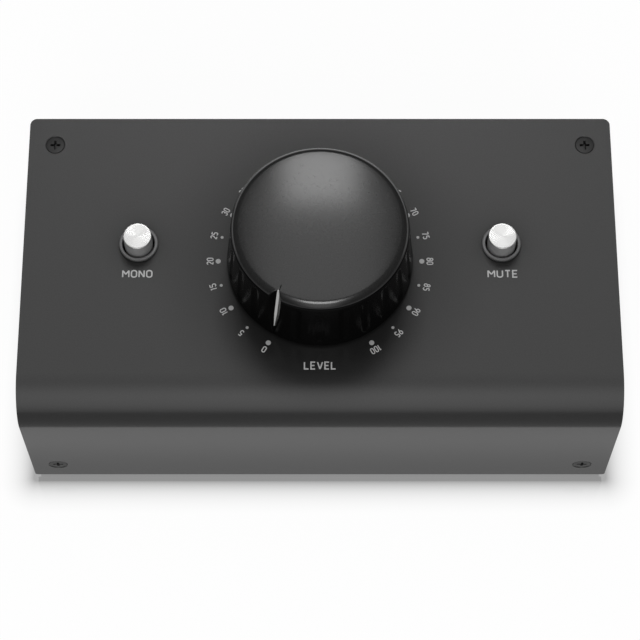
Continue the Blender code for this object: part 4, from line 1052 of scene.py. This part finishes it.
studio = {"domeLow": 0.08, "domeHigh": 0.15, "ceiling": 0.08, "ceilingSides": (0.08, 0.45), "ceilingBack": (0.5, 0.85),
          "horizon": (0.0, 0.35), "horizonShare": 0.6, "frontFrom": (0.0, 0.8), "frontGain": 1.15, "distance": 1.0}
bezels, caps = ("monoRing", "muteRing"), ("monoCap", "muteCap")
softBoxes = {"boxBehind": {"tilt": 38, "width": 0.26, "depth": 0.27, "radiance": 6.8, "only": ("levelKnob",)},
             "keyBehind": {"tilt": 35, "width": 0.4, "depth": 0.26, "radiance": 38.0, "only": ("topCover",),
                           "diffuse": True},
             "printLight": {"tilt": 13, "width": 0.7, "depth": 0.7, "radiance": 3.6,
                            "only": ("dialNumbers", "dialDots", "controlNames", *bezels), "diffuse": True},
             "capCeiling": {"tilt": 26, "width": 0.9, "depth": 0.5, "radiance": 0.9, "only": caps},
             "capBox": {"tilt": 42, "width": 0.3, "depth": 0.12, "radiance": 4.6, "only": caps},
             "ceilingPanel": {"tilt": 17, "width": 0.5, "depth": 0.56, "radiance": 1.22,
                              "only": ("levelKnob", *bezels, "coverScrew_rear_left", "coverScrew_rear_right")},
             "snootInFront": {"tilt": -27, "width": 0.4, "depth": 0.36, "radiance": 8.5,
                              "only": ("levelKnob", "knobPointer")}}


def makeWorld():
    world = bpy.data.worlds.new("studio")
    bpy.context.scene.world = world
    world.use_nodes = True
    tree = world.node_tree
    dark = tree.nodes["Background"]
    direction = addNode(tree, "ShaderNodeTexCoord").outputs["Generated"]
    x, y, z = addNode(tree, "ShaderNodeSeparateXYZ", {"Vector": direction}).outputs
    sideways, forwards, above = [
        addNode(tree, "ShaderNodeMath", {"operation": operation, 0: axis, 1: value}).outputs[0]
        for operation, axis, value in (("ABSOLUTE", x, 0), ("MULTIPLY", y, -1), ("GREATER_THAN", z, 0))]
    low, high, level, gain, horizonShare = take(studio, "domeLow domeHigh ceiling frontGain horizonShare")
    fades = ((z, (0, 1), low, high), (forwards, studio["frontFrom"], level, level + gain),
             (sideways, studio["ceilingSides"], 1, 0), (y, studio["ceilingBack"], 1, 0),
             (z, studio["horizon"], horizonShare, 1))
    dome, *shares = [
        addNode(tree, "ShaderNodeMapRange", {"interpolation_type": "SMOOTHSTEP", "Value": value, "From Min": start,
                                             "From Max": end, "To Min": first, "To Max": last}).outputs[0]
        for value, (start, end), first, last in fades]
    ceiling = above
    for share in shares:
        ceiling = addNode(tree, "ShaderNodeMath", {"operation": "MULTIPLY", 0: ceiling, 1: share}).outputs[0]
    total = addNode(tree, "ShaderNodeMath", {"operation": "ADD", 0: dome, 1: ceiling})
    tree.links.new(total.outputs[0], dark.inputs["Strength"])
    dark.inputs["Color"].default_value = white
    backdrop = addNode(tree, "ShaderNodeBackground", {"Color": white, "Strength": 1.0}).outputs[0]
    seen = addNode(tree, "ShaderNodeLightPath").outputs["Is Camera Ray"]
    mix = addNode(tree, "ShaderNodeMixShader", {"Fac": seen, 1: dark.outputs[0], 2: backdrop})
    tree.links.new(mix.outputs[0], tree.nodes["World Output"].inputs["Surface"])


def addSoftBox(name, box):
    # tilt is counted from straight above the panel, backwards
    lamp = bpy.data.lights.new(name, "AREA")
    lamp.shape, lamp.size, lamp.size_y = "RECTANGLE", box["width"], box["depth"]
    lamp.energy = box["radiance"] * math.pi * box["width"] * box["depth"]
    obj = bpy.data.objects.new(name, lamp)
    bpy.context.scene.collection.objects.link(obj)
    tilt = math.radians(box["tilt"])
    towards = Vector((0, math.sin(tilt), math.cos(tilt)))
    obj.location = knobCentre + towards * studio["distance"]
    obj.rotation_euler = (-tilt, 0, 0)
    lit = bpy.data.collections.new(name + "Lights")
    for piece in box["only"]:
        lit.objects.link(bpy.data.objects[piece])
    obj.light_linking.receiver_collection = lit
    obj.visible_glossy = not box.get("diffuse", False)


makeWorld()
for boxName, box in softBoxes.items():
    addSoftBox(boxName, box)


# Camera, fitted to the photograph

view = {"focal": 125.544, "sensor": 36.0, "pitch": 23.04, "offset": (0.0, -0.24939, 0.54609), "clip": (0.05, 20)}
camera = bpy.data.cameras.new("camera")
camera.lens, camera.sensor_width = view["focal"], view["sensor"]
camera.clip_start, camera.clip_end = view["clip"]
cameraObject = bpy.data.objects.new("camera", camera)
bpy.context.scene.collection.objects.link(cameraObject)
cameraObject.location = knobCentre + Vector(view["offset"])
cameraObject.rotation_euler = (math.radians(view["pitch"]), 0, 0)
bpy.context.scene.camera = cameraObject
bpy.context.scene.view_settings.view_transform = "Standard"
print("stage set")
